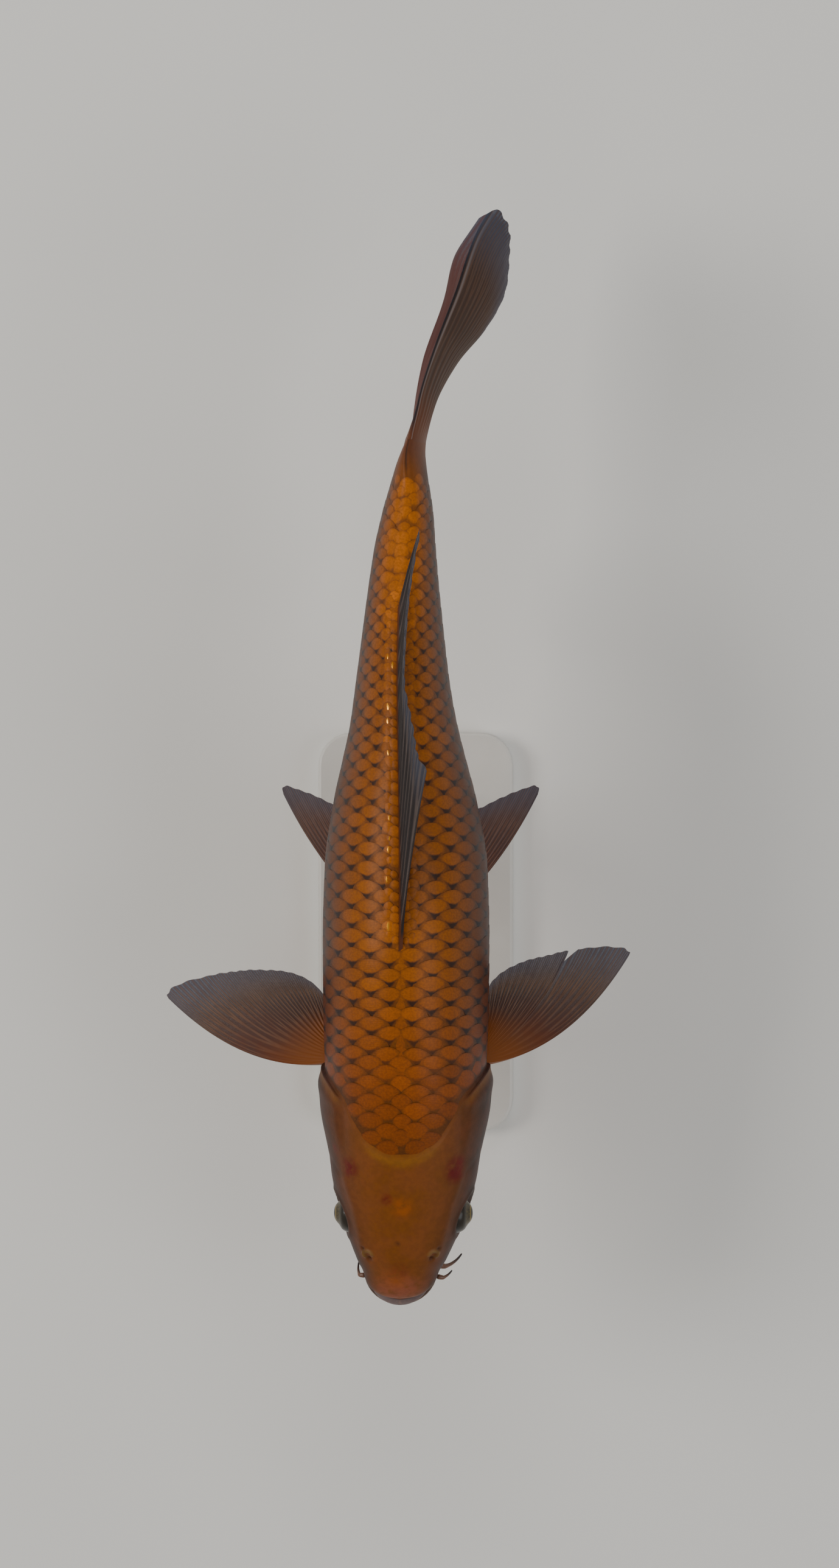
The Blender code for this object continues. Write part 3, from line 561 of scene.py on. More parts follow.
def scale_material():
    """Carp scales under a wet film of slime, cured as a thin varnish on the model.

    Each scale has a warm middle, a dark wedge at its front and a duller margin, so the coat
    reads as a dark net over orange; a darker line, partly painted shadow, runs along each free
    edge, and the flanks carry painted shade. The film gives small sharp glints, and a few
    scales by the dorsal fin carry painted brass glints.
    """
    material, add, shader = new_material("varnished carp scale")
    bright = body_colour(add, "scale_bright", "scale_flank_shade", "scale_belly")
    bright = add("mix", add("ramp", add("x", add("vector", "place")), 80.0, 155.0, 0.45, 0.0),
                 bright, colour("scale_front"))
    net = body_colour(add, "scale_net", "scale_net_flank_shade", "scale_net_belly")
    fair, plain, wet = (add("number", name) for name in ("fair", "plain", "wet"))
    pattern = add("uv", "scale_place")
    x, y = add("x", pattern), add("y", pattern)
    waver = add("multiply", add("subtract", mottle(add, 3.2, 2.0), 0.5), 0.16)
    # the warm middle is an oval, wider on the fair scales and all of a plain one
    oval = add("add", add("add", spread(add, x, 0.0, 0.62), spread(add, y, 0.14, 0.4)), waver)
    middle = add("maximum", add("ramp", oval, 0.45, 1.5, 1.0, 0.0),
                 add("multiply", fair, add("ramp", oval, 0.95, 2.1, 1.0, 0.0)))
    base = add("mix", add("maximum", middle, plain), net, bright)
    # the wedge: widest on its tailward side, its point toward the head
    slant = add("subtract", add("add", add("multiply", y, 0.85), 0.51), add("absolute", x))
    below = add("subtract", y, add("multiply", add("multiply", x, x), 0.8))
    wedge = add("multiply", add("ramp", slant, -0.1, 0.14),
                add("ramp", add("add", below, waver), -0.28, -0.14, 1.0, 0.0))
    base = add("mix", add("multiply", wedge, add("number", "mark")), base, body_colour(
        add, "scale_mark", "scale_mark_flank_shade", "scale_net_belly"))
    # a darker line at each scale's free edge: partly the scale's thin dark outline, partly a
    # painted shadow where it lies over the next scale
    rim = add("multiply", add("ramp", add("number", "rim"), 0.9, 1.0),
              add("add", 0.12, add("multiply", fair, 0.2)))
    base = add("mix", add("multiply", rim, add("subtract", 1.0, plain)), base,
               colour("scale_mark"))
    base = add("tint", base, add("number", "tone"))
    base = add("tint", base, add("ramp", mottle(add, 0.9, 2.0), 0.3, 0.7, 0.86, 1.12))
    # a few bare scales by the dorsal fin gleam with guanine, like brass: the bright metallic brass
    # streak on each is a painted glint
    streak = add("add", spread(add, add("add", x, add("multiply", waver, 2.4)), 0.0, 0.16, 1.4),
                 spread(add, y, 0.1, 0.32, 1.6))
    gleam = add("multiply", wet, add("ramp", streak, 0.7, 1.1, 1.0, 0.0))
    # growth lines across the scale, coarser than the real ones so that they show
    lines = add("wave", pattern, 3.2, 3.0, 2.0)
    set_node(shader, {
        **SLIME, "Coat Roughness": 0.25,
        "Base Color": add("mix", gleam, base, colour("scale_guanine_and_glint")),
        "Roughness": add("ramp", gleam, 0.0, 1.0, 0.5, 0.25),
        "Metallic": add("ramp", gleam, 0.0, 1.0, 0.0, 0.9),
        "Normal": add("bump", add("ramp", wet, 0.0, 1.0, 0.12, 0.0), 0.0001, lines)})
    return material


def skin_material():
    """Bare carp skin, smooth and slimy: soft clouded colour under an even gloss."""
    material, add, shader = new_material("varnished carp skin")
    trunk = body_colour(add, "scale_net", "scale_net_flank_shade", "scale_net_belly")
    trunk = add("mix", 0.45, trunk,
                body_colour(add, "scale_bright", "scale_flank_shade", "scale_belly"))
    trunk = add("mix", add("number", "stalk"), trunk, colour("tail_root"))
    head = body_colour(add, "head_top", "head_side_shade", "head_under")
    cloud = add("ramp", mottle(add, 9.0, 4.0), 0.35, 0.65)
    head = add("mix", add("multiply", cloud, 0.1), head, colour("snout"))
    base = add("mix", add("number", "head"), trunk, head)
    for along, degrees, full, none, weight, hue in HEAD_BLOTCHES:
        place = body_surface(np.array(along), np.array(math.radians(degrees))) * MM
        spot = add("ramp", add("gap", add("here"), tuple(place)), full * MM, none * MM, 1.0, 0.0)
        ragged = add("multiply", add("ramp", mottle(add, 4.0), 0.25, 0.6), weight)
        base = add("mix", add("multiply", spot, ragged), base, colour(hue))
    base = add("mix", add("multiply", add("number", "nape"), 0.7), base, colour("nape"))
    base = add("mix", add("number", "lip"), base, colour("lip"))
    base = add("tint", base, add("ramp", mottle(add, 2.4), 0.35, 0.65, 0.93, 1.06))
    base = add("mix", add("number", "pale"), base, colour("nostril_flap"))
    set_node(shader, {
        **SLIME, "Roughness": 0.55,
        "Subsurface Weight": 0.08, "Subsurface Radius": (0.004, 0.0015, 0.0008),
        "Subsurface Scale": 0.6,
        # the dark mark is painted shade in the head's creases, pits, folds and eye sockets, and in
        # the tail stalk's groove
        "Base Color": add("mix", add("number", "dark"), base, colour("scale_mark")),
        "Normal": add("bump", 0.22, 0.0003, mottle(add, 0.7, 2.0))})
    return material


def fin_material(name, kind, root_share, clearness, edge_tint=1.0, blush=0.0):
    """Fin web cast thin over horny rays: dusky and a little clear between the rays."""
    material, add, shader = new_material(name)
    web, ray, root = (colour(kind + part) for part in ("_web", "_ray", "_root"))
    ridge = add("number", "ridge")
    pattern = add("uv", "ray_place")
    across, length = add("x", pattern), add("y", pattern)
    cloud = add("ramp", mottle(add, 7.0), 0.35, 0.65)
    rib = add("mix", add("multiply", cloud, 0.35), ray, web)
    base = add("mix", add("ramp", ridge, 0.15, 0.8), web, rib)
    # a red blush spreads from the root along the first rays
    red = add("multiply", add("ramp", across, 1.0, 9.0, 1.0, 0.25),
              add("ramp", length, 0.25, 0.9, blush, 0.0))
    red = add("multiply", red, add("ramp", mottle(add, 9.0, 2.0), 0.3, 0.6, 0.55, 1.0))
    base = add("mix", red, base, colour("fin_blush"))
    flesh = add("multiply", add("ramp", length, 0.04, root_share, 1.0, 0.0),
                add("ramp", ridge, -0.4, 0.7, 0.9, 1.0))
    base = add("mix", flesh, base, root)
    if kind == "tail":
        # the first ray is dark with a painted highlight beside it; the lower lobe is redder
        line = add("multiply", add("ramp", across, 0.06, 0.14, 0.9, 0.0),
                   add("ramp", length, 0.0, 0.1))
        base = add("mix", line, base, colour("tail_line"))
        pale = add("multiply", add("ramp", across, 0.12, 0.18, 0.0, 0.6),
                   add("ramp", across, 0.22, 0.34, 1.0, 0.0))
        base = add("mix", pale, base, colour("tail_highlight"))
        base = add("mix", add("ramp", across, 9.0, 11.0, 0.0, 0.8), base, colour("tail_lower"))
    thin = add("multiply", add("ramp", length, 0.72, 1.0, 0.0, edge_tint),
               add("ramp", ridge, 0.2, 1.0, 0.75, 0.3))
    gap = add("multiply", add("ramp", ridge, 0.1, 0.7, 1.0, 0.25),
              add("ramp", length, 0.15, 0.95, 0.0, clearness))
    set_node(shader, {
        **SLIME, "Roughness": 0.52, "Specular IOR Level": 0.24,
        "Alpha": add("subtract", 1.0, gap),
        "Base Color": add("mix", thin, base, colour("fin_edge")),
        "Normal": add("bump", 0.15, 0.0002, mottle(add, 0.9, 2.0))})
    return material


# ---- skin

SKIN_SIDES = 240
CAP_ROWS = 44
HEAD_ROWS = 132
FOLD_ROWS = 12
TRUNK_ROWS = 146
END_ROWS = 4
# The fold behind a gill cover: share of the fold's depth along the body, share of its height
FOLD_PATH = ((0.0, 1.0), (0.08, 0.95), (0.15, 0.87), (0.2, 0.76), (0.23, 0.64), (0.24, 0.51),
             (0.24, 0.38), (0.25, 0.25), (0.28, 0.12), (0.34, 0.0), (0.42, -0.08), (0.51, -0.12),
             (0.6, -0.13))
FOLD_DEPTH = 2.0
# Where there is no gill cover the fold's rows run flat over this length, and sink this much
FLAT_FOLD = 1.2
FLAT_FOLD_SINK = 0.15
HEAD_LENGTH = 70.0
LIP_POINTS = 61
# Lines of the face, as (distance behind the snout, degrees) places with the rise of the skin
# there, its width, and its mark of painted shade in a crease: the cheek's bony edge, the
# brow and the jaw
FACE_LINES = (
    (((27, -6), (34, -22), (46, -34), (58, -30), (64, -8), (62, 18), (57, 34)),
     -0.14, 1.5, "dark", 0.16, 1.2),
    (((24, 44), (33, 47), (44, 47), (54, 42)), 0.4, 2.4),
    (((14, -20), (20, -30), (30, -36)), -0.5, 0.9, "dark", 0.3, 0.8),
)


def lip_line(which):
    """The middle line of a lip and its half-thickness at each place."""
    set_back, level, droop, wide, deep, full, corner = LIPS[which]
    angle = np.radians(np.linspace(-96, 96, LIP_POINTS))
    along = set_back + deep * (1 - np.cos(angle))
    x = SIDEWAYS_BEND[0][1] + wide * np.sin(angle)
    z = AXIS_HEIGHT + level - droop * (1 - np.cos(angle))
    share = np.abs(np.linspace(-1, 1, LIP_POINTS)) ** 2
    outward = np.stack([np.sin(angle), -np.cos(angle), 0 * angle], -1)
    return np.stack([x, SNOUT_Y + along, z], -1), full + (corner - full) * share, outward


def gap_to(points, path):
    """The distance from each point to the nearest point of a path."""
    nearest = np.full(len(points), np.inf)
    for place in path:
        nearest = np.minimum(nearest, np.linalg.norm(points - place, axis=1))
    return nearest


def raised_by(points, normals, path, radii):
    """How far each point moves along its normal to clear a row of balls."""
    lift = np.full(len(points), -np.inf)
    for centre, radius in zip(path, radii):
        to_centre = centre - points
        ahead = (to_centre * normals).sum(1)
        inside = radius ** 2 - (to_centre ** 2).sum(1) + ahead ** 2
        lift = np.where(inside > 0, np.maximum(lift, ahead + np.sqrt(np.maximum(inside, 0))), lift)
    return lift


def bell(distance, width):
    """A soft bump, 1 at no distance."""
    return np.exp(-(distance / width) ** 2)


def skin_profile(row, angle):
    """Distance behind the snout, height off the body and tail-end share of each skin vertex."""
    edge = coat_edge(angle)
    cap = row / CAP_ROWS
    along = SNOUT_FRONT + SNOUT_ROUNDING * (1 - np.cos(np.clip(cap, 0, 1) * math.pi / 2))
    head = (row - CAP_ROWS) / HEAD_ROWS
    first = SNOUT_FRONT + SNOUT_ROUNDING
    along = np.where(head > 0, first + (edge - first) * np.clip(head, 0, 1), along)
    out = cover_height(along, angle)
    fold = np.clip(row - CAP_ROWS - HEAD_ROWS, 0, FOLD_ROWS)
    fade = cover_fade(angle)
    path = np.array(FOLD_PATH)
    reach = np.interp(fold, range(FOLD_ROWS + 1), path[:, 0]) * FOLD_DEPTH * fade
    rise = np.interp(fold, range(FOLD_ROWS + 1), path[:, 1])
    top = cover_height(edge, angle)
    folded = (np.where(rise > 0, rise * top, FOLD_DEPTH * rise * fade)
              - FLAT_FOLD_SINK * (1 - fade) * fold / FOLD_ROWS)
    within = row > CAP_ROWS + HEAD_ROWS
    along = np.where(within, edge + reach + (1 - fade) * fold / FOLD_ROWS * FLAT_FOLD, along)
    out = np.where(within, folded, out)
    trunk = (row - CAP_ROWS - HEAD_ROWS - FOLD_ROWS) / TRUNK_ROWS
    start = edge + FOLD_PATH[-1][0] * FOLD_DEPTH * fade + (1 - fade) * FLAT_FOLD
    behind = trunk > 0
    along = np.where(behind, start + (STALK_END - start) * np.clip(trunk, 0, 1), along)
    out = np.where(behind, -0.2 * smooth_step((along - STALK_END + 8) / 8.0), out)
    closing = np.clip((row - CAP_ROWS - HEAD_ROWS - FOLD_ROWS - TRUNK_ROWS) / END_ROWS, 0, 1)
    return along, out, closing, behind


def nostril_places(side):
    """The front pit, the rear pit and the flap's arc of a nostril."""
    def place(ahead, aside):
        angle = math.radians(NOSTRIL_ANGLE) + aside
        angle = angle if side > 0 else math.pi - angle
        return body_surface(np.array(NOSTRIL_ALONG + ahead), np.array(angle))

    swings = [math.radians(-30 + 210 * k / 12) for k in range(13)]
    arc = [place(0.2 + 1.5 * math.sin(swing), -2.3 * math.cos(swing) / 20.0) for swing in swings]
    return place(-1.6, 0.0), place(2.6, math.radians(-5.0)), np.array(arc)


def surface_path(points, side):
    """Places on the body along a path of (distance behind the snout, degrees) points."""
    steps = np.linspace(0, len(points) - 1, 14 * (len(points) - 1) + 1)
    order = range(len(points))
    along = np.interp(steps, order, [p[0] for p in points])
    angle = np.radians(np.interp(steps, order, [p[1] for p in points]))
    angle = angle if side > 0 else math.pi - angle
    return body_surface(along, angle)


class KOI_OT_skin(bpy.types.Operator):
    """Build the one skin that covers head, trunk and tail stalk"""
    bl_idname = "koi.skin"
    bl_label = "Skin"

    def execute(self, context):
        sizes = context.scene.koi_sizes
        rows = CAP_ROWS + HEAD_ROWS + FOLD_ROWS + TRUNK_ROWS + END_ROWS
        piece, ball = add_ball("koi_skin", SKIN_SIDES, rows)
        polar = np.arccos(np.clip(ball[:, 2], -1, 1))
        row = np.round(polar / math.pi * rows)
        angle = np.arctan2(ball[:, 1], ball[:, 0])
        along, out, closing, behind = skin_profile(row, angle)
        base = body_surface(along, angle)
        normal = body_normal(along, angle)
        past_edge = along - coat_edge(angle)
        coat = behind * smooth_step(past_edge / 3.0) * (1 - smooth_step((along - COAT_END) / 10.0))
        under = sizes.head_depth + (sizes.coat_depth - sizes.head_depth) * coat
        out = out - under / MM
        marks = self.shape_head(base, normal, along, angle, row)
        out = out + marks.pop("lift")
        places = base + normal * out[:, None]
        axis = np.stack([curve(SIDEWAYS_BEND, along), SNOUT_Y + along,
                         AXIS_HEIGHT + 0 * along], -1)
        places = places + (axis - places) * closing[:, None]
        move_vertices(piece, places)
        piece.data.uv_layers[0].name = "OFBake"
        head = 1 - smooth_step(past_edge / 4.0)
        stalk = smooth_step((along - COAT_END - 2) / 13.0)
        nape = bell(past_edge + 0.4, 2.2) * smooth_step((side_angle(angle) - 58) / 16)
        cover = cover_fade(angle) * (row <= CAP_ROWS + HEAD_ROWS)
        edge_band = bell(past_edge + 1.2, 1.6) * cover
        marks.update(nape=np.maximum(nape, 0.5 * edge_band), head=head, stalk=stalk)
        for name, values in marks.items():
            set_attribute(piece, name, values)
        set_place(piece, along, angle)
        face_outward(piece)
        finish_piece(piece, skin_material(),
                     ("head", "gill_cover_left", "gill_cover_right", "upper_lip", "lower_lip",
                      "trunk_front", "trunk_rear", "tail_stalk"))
        return {"FINISHED"}

    def shape_head(self, base, normal, along, angle, row):
        """Lips, eye sockets, nostrils and creases: their heights and markings, with painted shade
        in the hollows.
        """
        front = along < HEAD_LENGTH
        points, normals = base[front], normal[front]
        raised = np.zeros(len(points))
        spots = {name: np.zeros(len(points)) for name in ("lip", "dark", "pale")}

        def shape(path, rise, width, name="dark", amount=0.0, reach=1.0):
            """Raise the skin along a path, or sink it, and mark it there; a dark mark is painted
            shade.
            """
            gap = gap_to(points, path)
            raised[:] += rise * bell(gap, width)
            spots[name] = np.maximum(spots[name], amount * bell(gap, reach))

        upper, upper_radii, outward = lip_line("upper")
        lower, lower_radii, outward = lip_line("lower")
        # the snout draws in above the lips and below the jaw, with a fold along the lip painted
        # dark with shade
        shape(upper + (0, 0, 4.2), -2.3, 4.2)
        shape(lower - (0, 0, 4.4), -0.9, 2.6)
        shape(upper - outward * 1.7 + (0, 0, 2.3), -0.7, 0.8, "dark", 0.45, 0.7)
        # the lips swell out of the skin as rows of balls, with a soft join
        for line, radii in ((upper, upper_radii), (lower, lower_radii)):
            swell = raised_by(points, normals, line, radii)
            reach = np.where(np.isfinite(swell), swell, -9.0)
            raised += 0.2 * np.log1p(np.exp(np.clip((reach - raised) / 0.2, -40, 40)))
        spots["lip"] = smooth_step(1.7 - gap_to(points, upper) / 2.1)
        # the lower lip is paler, and darker with painted shade where it lies under the upper lip
        low_lip = smooth_step(1.8 - gap_to(points, lower) / 1.8)
        spots["pale"] = 0.25 * low_lip
        spots["dark"] = np.maximum(spots["dark"], 0.4 * low_lip)
        # the mouth line between them, sunk and painted dark with shade
        shape((upper + lower) / 2 + outward * 0.7, -0.8, 1.1, "dark", 0.9, 1.15)
        for side in (1, -1):
            # a socket for the eye, its soft rim, and a ring of painted shade round it
            middle = np.array([curve(SIDEWAYS_BEND, EYE_ALONG) + side * EYE_OUT,
                               SNOUT_Y + EYE_ALONG, AXIS_HEIGHT + EYE_UP])
            same = (points[:, 0] - middle[0]) * side > -4
            off_axis = np.hypot(points[:, 1] - middle[1], points[:, 2] - middle[2]) - ORBIT_RADIUS
            hollow = np.where(off_axis < -0.6, 1.0, bell(off_axis + 0.6, 2.0))
            raised += same * (-1.5 * hollow + 0.45 * bell(off_axis - 3.0, 1.3))
            shade = np.maximum(0.6 * bell(off_axis, 1.4), 0.5 * bell(off_axis, 5.5))
            spots["dark"] = np.maximum(spots["dark"], same * shade)
            pit, rear_pit, flap = nostril_places(side)
            # the nostril's pits are sunk and painted dark with shade; its flap is raised and paler
            shape([pit], -1.1, 1.1, "dark", 0.75, 1.1)
            shape([rear_pit], -0.6, 0.8, "dark", 0.6, 1.0)
            shape(flap, 0.9, 0.65, "pale", 0.8, 0.8)
            for path, *rest in FACE_LINES:
                shape(surface_path(path, side), *rest)
        marks = {name: np.zeros(len(base)) for name in ("lift", "lip", "dark", "pale")}
        marks["lift"][front] = raised
        for name, values in spots.items():
            marks[name][front] = np.clip(values, 0, 1)
        # painted shade in the fold behind each gill cover
        under_fold = row > CAP_ROWS + HEAD_ROWS + 2
        under_fold &= row < CAP_ROWS + HEAD_ROWS + FOLD_ROWS - 1
        marks["dark"] = np.maximum(marks["dark"], under_fold * cover_fade(angle) * 0.05)
        # the groove on the ridge where the tail fin grows out of the stalk, painted dark with
        # shade
        from_ridge = np.where(np.sin(angle) > 0, curve(HALF_WIDTH, along) * np.cos(angle), 99.0)
        groove = bell(from_ridge, 0.65) * smooth_step((along - 335) / 10)
        marks["dark"] = np.maximum(marks["dark"], 0.85 * groove)
        marks["lift"] -= 0.35 * groove
        return marks


# ---- scales

GIRTH_ALONG = np.linspace(50.0, 352.0, 152)
GIRTH_SHARES = np.linspace(0.0, 1.0, 81)


def girth_tables():
    """For places along the body: quarter girths over and under the side line, and the angle
    at each share of them."""
    turn = np.linspace(0.0, math.pi / 2, 161)
    tables = {}
    for name, sign in (("above", 1), ("below", -1)):
        lengths, angles = [], []
        for along in GIRTH_ALONG:
            ring = body_surface(np.full(len(turn), along), sign * turn)
            run = np.concatenate([[0.0], np.cumsum(np.linalg.norm(np.diff(ring, axis=0), axis=1))])
            lengths.append(run[-1])
            angles.append(np.interp(GIRTH_SHARES * run[-1], run, sign * turn))
        tables[name] = (np.array(lengths), np.array(angles))
    return tables


def angle_at(tables, along, share):
    """The angle over the left side at a share of the quarter girth, past the ridge too."""
    over = share > 1
    within = np.where(over, 2 - share, np.maximum(share, -1))
    result = np.zeros(len(along))
    row = np.clip((along - GIRTH_ALONG[0]) / (GIRTH_ALONG[1] - GIRTH_ALONG[0]),
                  0, len(GIRTH_ALONG) - 1.001)
    r = row.astype(int)
    f = row - r
    for name, mask in (("above", within >= 0), ("below", within < 0)):
        angles = tables[name][1]
        column = np.clip(np.abs(within), 0, 1) * (len(GIRTH_SHARES) - 1)
        c = np.minimum(column.astype(int), len(GIRTH_SHARES) - 2)
        g = column - c
        value = ((angles[r, c] * (1 - g) + angles[r, c + 1] * g) * (1 - f)
                 + (angles[r + 1, c] * (1 - g) + angles[r + 1, c + 1] * g) * f)
        result = np.where(mask, value, result)
    return np.where(over, math.pi - result, result)


def row_share(row, along, girth):
    """Where a row of scales lies: 0 on the side line, 1 on the ridge, -1 on the keel.

    The rows lie closer together toward the ridge, and the fin's base pushes them aside.
    """
    if row >= 0:
        x = row / curve(ROWS_ABOVE, along)
        share = x * 1.4 - 0.4 * x * x
        push = 4.0 * smooth_step((along - 148) / 18) * (1 - smooth_step((along - 280) / 20))
        return share - push * np.exp(-np.maximum(1 - share, 0) * girth / 7.0) / girth
    return row / curve(ROWS_BELOW, along)


RIDGE_ROW = 7
STRIP_ROW = 10
REAR_ROW = 11
MIDDLE_ROWS = (RIDGE_ROW, STRIP_ROW, REAR_ROW)
RIDGE_ROW_END = 103.0
# The coat's bake map: length of the unrolled body, and size of a scale's patch
BAKE_LENGTH = 360.0
PATCH = 0.003


def scale_rows(tables):
    """The scales of one side: row, distance behind the snout, share of the girth, spacing of
    the rows and pitch along the row."""
    fine = np.linspace(60.0, COAT_END, 600)
    count = np.concatenate([[0.0], np.cumsum(np.diff(fine) / curve(SCALE_PITCH, fine[1:]))])
    found = []
    for row in range(-6, RIDGE_ROW + 1):
        for step in np.arange(0.0, count[-1], 1.0) + 0.5 * (row % 2):
            along = float(np.interp(step, count, fine))
            side = "above" if row >= 0 else "below"
            girth = float(np.interp(along, GIRTH_ALONG, tables[side][0]))
            share = float(row_share(row, along, girth))
            inner, outer = (float(row_share(row + half, along, girth)) for half in (-0.5, 0.5))
            spacing = girth * (2 * outer if row == 0 else outer - inner)
            room = (1 - share) * girth if row > 0 else (1 + share) * girth
            crowded = along > RIDGE_ROW_END if row == RIDGE_ROW else room < 0.45 * spacing
            if crowded:
                continue
            angle = float(angle_at(tables, np.array([along]), np.array([share]))[0])
            start = float(coat_edge(np.array(angle)))
            if along < start + (3.0 if row == RIDGE_ROW else 1.5):
                continue
            found.append((row, along, share, spacing, float(curve(SCALE_PITCH, along))))
    return found


def small_scales(tables):
    """Extra rows of small scales along the ridge and the base of the dorsal fin."""
    found = []
    for row, (off, first, last, step, spacing, pitch) in SMALL_ROWS.items():
        for along in np.arange(first, last, step):
            girth = float(np.interp(along, GIRTH_ALONG, tables["above"][0]))
            found.append((row, float(along), 1 - off / girth, spacing, pitch))
    return found


def scale_plate():
    """One scale as a flat closed plate: a grid whose rim is filled underneath."""
    piece, across, length = add_grid("scale_pattern", 10, 6)
    bpy.ops.object.mode_set(mode="EDIT")
    bpy.ops.mesh.select_all(action="SELECT")
    bpy.ops.mesh.region_to_loop()
    bpy.ops.mesh.edge_face_add()
    bpy.ops.mesh.select_all(action="SELECT")
    bpy.ops.mesh.normals_make_consistent(inside=False)
    bpy.ops.object.mode_set(mode="OBJECT")
    faces = [tuple(face.vertices) for face in piece.data.polygons]
    top = max(piece.data.polygons, key=lambda face: -len(face.vertices))
    if top.normal.z < 0:
        faces = [face[::-1] for face in faces]
    bpy.data.objects.remove(piece)
    return across * 2 - 1, length, faces


def scale_outline(u, v):
    """The plate's corners as a scale: a fan of radius 1, its root forward at -Y."""
    free_edge = 0.5 * (1 - np.abs(u) ** 1.8) ** 0.8 + 0.02
    root_edge = -0.95 * (1 - 0.12 * u ** 2)
    return u * (1 - 0.28 * (1 - v) ** 2), root_edge + (free_edge - root_edge) * v ** 0.9


class KOI_OT_scales(bpy.types.Operator):
    """Lay the coat of scales over the skin, one piece for each side"""
    bl_idname = "koi.scales"
    bl_label = "Scales"

    def execute(self, context):
        material = scale_material()
        tables = girth_tables()
        u, v, faces = scale_plate()
        plan = scale_rows(tables) + small_scales(tables)
        for side, word in ((1, "left"), (-1, "right")):
            chosen = [scale for scale in plan if side > 0 or scale[0] not in MIDDLE_ROWS]
            chance = np.random.default_rng(11 if side > 0 else 12)
            scales = [np.array(column, float) for column in zip(*chosen)]
            piece, *traits = self.lay(context.scene.koi_sizes, tables, (u, v, faces), scales,
                                      side, chance, "koi_scales_" + word)
            for name, values in self.markings(scales[0], side, chance, *traits).items():
                set_attribute(piece, name, np.repeat(values, len(u)))
            set_attribute(piece, "rim", np.tile(v, len(scales[0])))
            finish_piece(piece, material, ("trunk_front", "trunk_rear"))
        return {"FINISHED"}

    def lay(self, sizes, tables, plate, scales, side, chance, name):
        """Bend one copy of the plate over the body for every scale of a side."""
        u, v, faces = plate
        row, along, share, spacing, pitch = scales
        count, corners = len(row), len(u)
        angle = angle_at(tables, along, share)
        behind = along - coat_edge(angle)
        small, strip = row > RIDGE_ROW, row == STRIP_ROW
        # near the head and the tail the scales lie less evenly
        wild = np.where(small, 0.3 - 0.2 * strip, 0.05 + 0.18 * np.exp(-behind / 9.0)
                        + 0.16 * smooth_step((along - 300) / 30))
        along = along + chance.normal(0, 1, count) * wild * pitch * 0.45
        aside = chance.normal(0, 1, count) * wild * spacing * 0.4
        grow = 1 + chance.normal(0, 1, count) * wild * 0.6
        half_width = spacing * 1.02 * grow * (1 - 0.1 * (row == RIDGE_ROW))
        # each corner's place along the body and round it
        x, y = scale_outline(u, v)
        place = along[:, None] + y * (pitch * grow)[:, None]
        girth = np.where(row[:, None] >= 0, np.interp(place, GIRTH_ALONG, tables["above"][0]),
                         np.interp(place, GIRTH_ALONG, tables["below"][0]))
        lines = np.empty((count, corners))
        for k in range(count):
            if small[k]:
                lines[k] = 1 - SMALL_ROWS[row[k]][0] / girth[k]
            else:
                lines[k] = row_share(row[k], place[k], girth[k])
        lie = lines + (x * half_width[:, None] + aside[:, None]) / girth
        turn = angle_at(tables, place.ravel(), lie.ravel())
        turn = turn if side > 0 else math.pi - turn
        # its height: the root is sunk, the free edge lies near the outline, the middle swells
        depth = sizes.coat_depth / MM
        progress = (y - y.min()) / (y.max() - y.min())
        swell = sizes.scale_bulge / MM * np.exp(-(x / 0.5) ** 2 - ((y - 0.05) / 0.34) ** 2)
        ends = smooth_step(behind / 16.0) * (1 - smooth_step((along - COAT_END + 16) / 16.0))
        flank = np.exp(-(np.degrees(angle) / 42.0) ** 2)
        lift = ((0.45 + 0.55 * ends) * (1 - 0.5 * flank))[:, None]
        height = -depth + (depth - 0.18) * progress * lift + swell * lift - 0.14 * x ** 2
        height = height + chance.normal(0, 0.015, count)[:, None]
        height = height + (0.1 * small - 0.3 * strip - 0.18 * (row == REAR_ROW))[:, None]
        flat = place.ravel()
        places = body_surface(flat, turn) + body_normal(flat, turn) * height.ravel()[:, None]
        solid = [tuple(i + k * corners for i in face)[::side]
                 for k in range(count) for face in faces]
        mesh = bpy.data.meshes.new(name)
        mesh.from_pydata((places * MM).tolist(), [], solid)
        piece = bpy.data.objects.new(name, mesh)
        bpy.context.scene.collection.objects.link(piece)
        set_place(piece, flat, turn)
        pattern = np.stack([np.tile(x, count), np.tile(y, count)], -1)
        set_uv(piece, "scale_place", pattern)
        # each scale is a small patch at its root's place on the unrolled body
        root = np.stack([(np.where(side > 0, angle, math.pi - angle) / (2 * math.pi)) % 1.0,
                         along / BAKE_LENGTH], -1)
        patch = PATCH / 2 * np.stack([x, y / 0.75], -1)
        bake = (root[:, None] + patch[None]).reshape(-1, 2)
        set_uv(piece, "OFBake", np.clip(bake, 0.001, 0.999))
        return piece, along, angle, behind

    def markings(self, row, side, chance, along, angle, behind):
        """What each scale's look depends on: its mark, fairness, tone, plainness and gleam."""
        count = len(row)
        small, strip, ridge = row > RIDGE_ROW, 1.0 * (row == STRIP_ROW), row == RIDGE_ROW
        high = np.degrees(angle)
        near_ridge = smooth_step((high - 38) / 30)
        ahead = 1 - smooth_step((along - 80) / 48)
        astern = smooth_step((along - 268) / 40)
        mark = ((1 - near_ridge * (0.97 * ahead + 0.9 * astern))
                * (1 - 0.8 * smooth_step((-high - 12) / 30))
                * smooth_step((behind - 4) / 14) * (1 - 0.7 * smooth_step((along - 300) / 25)))
        mark = np.where(small, 0.15, np.where(ridge, 0.05, mark))
        fair = np.where(small, 0.8, np.maximum(near_ridge * np.maximum(ahead, astern), ridge))
        tone = 1 + (1 - strip) * (chance.normal(0, 0.055, count)
                                  + 0.08 * small * chance.normal(0, 1, count))
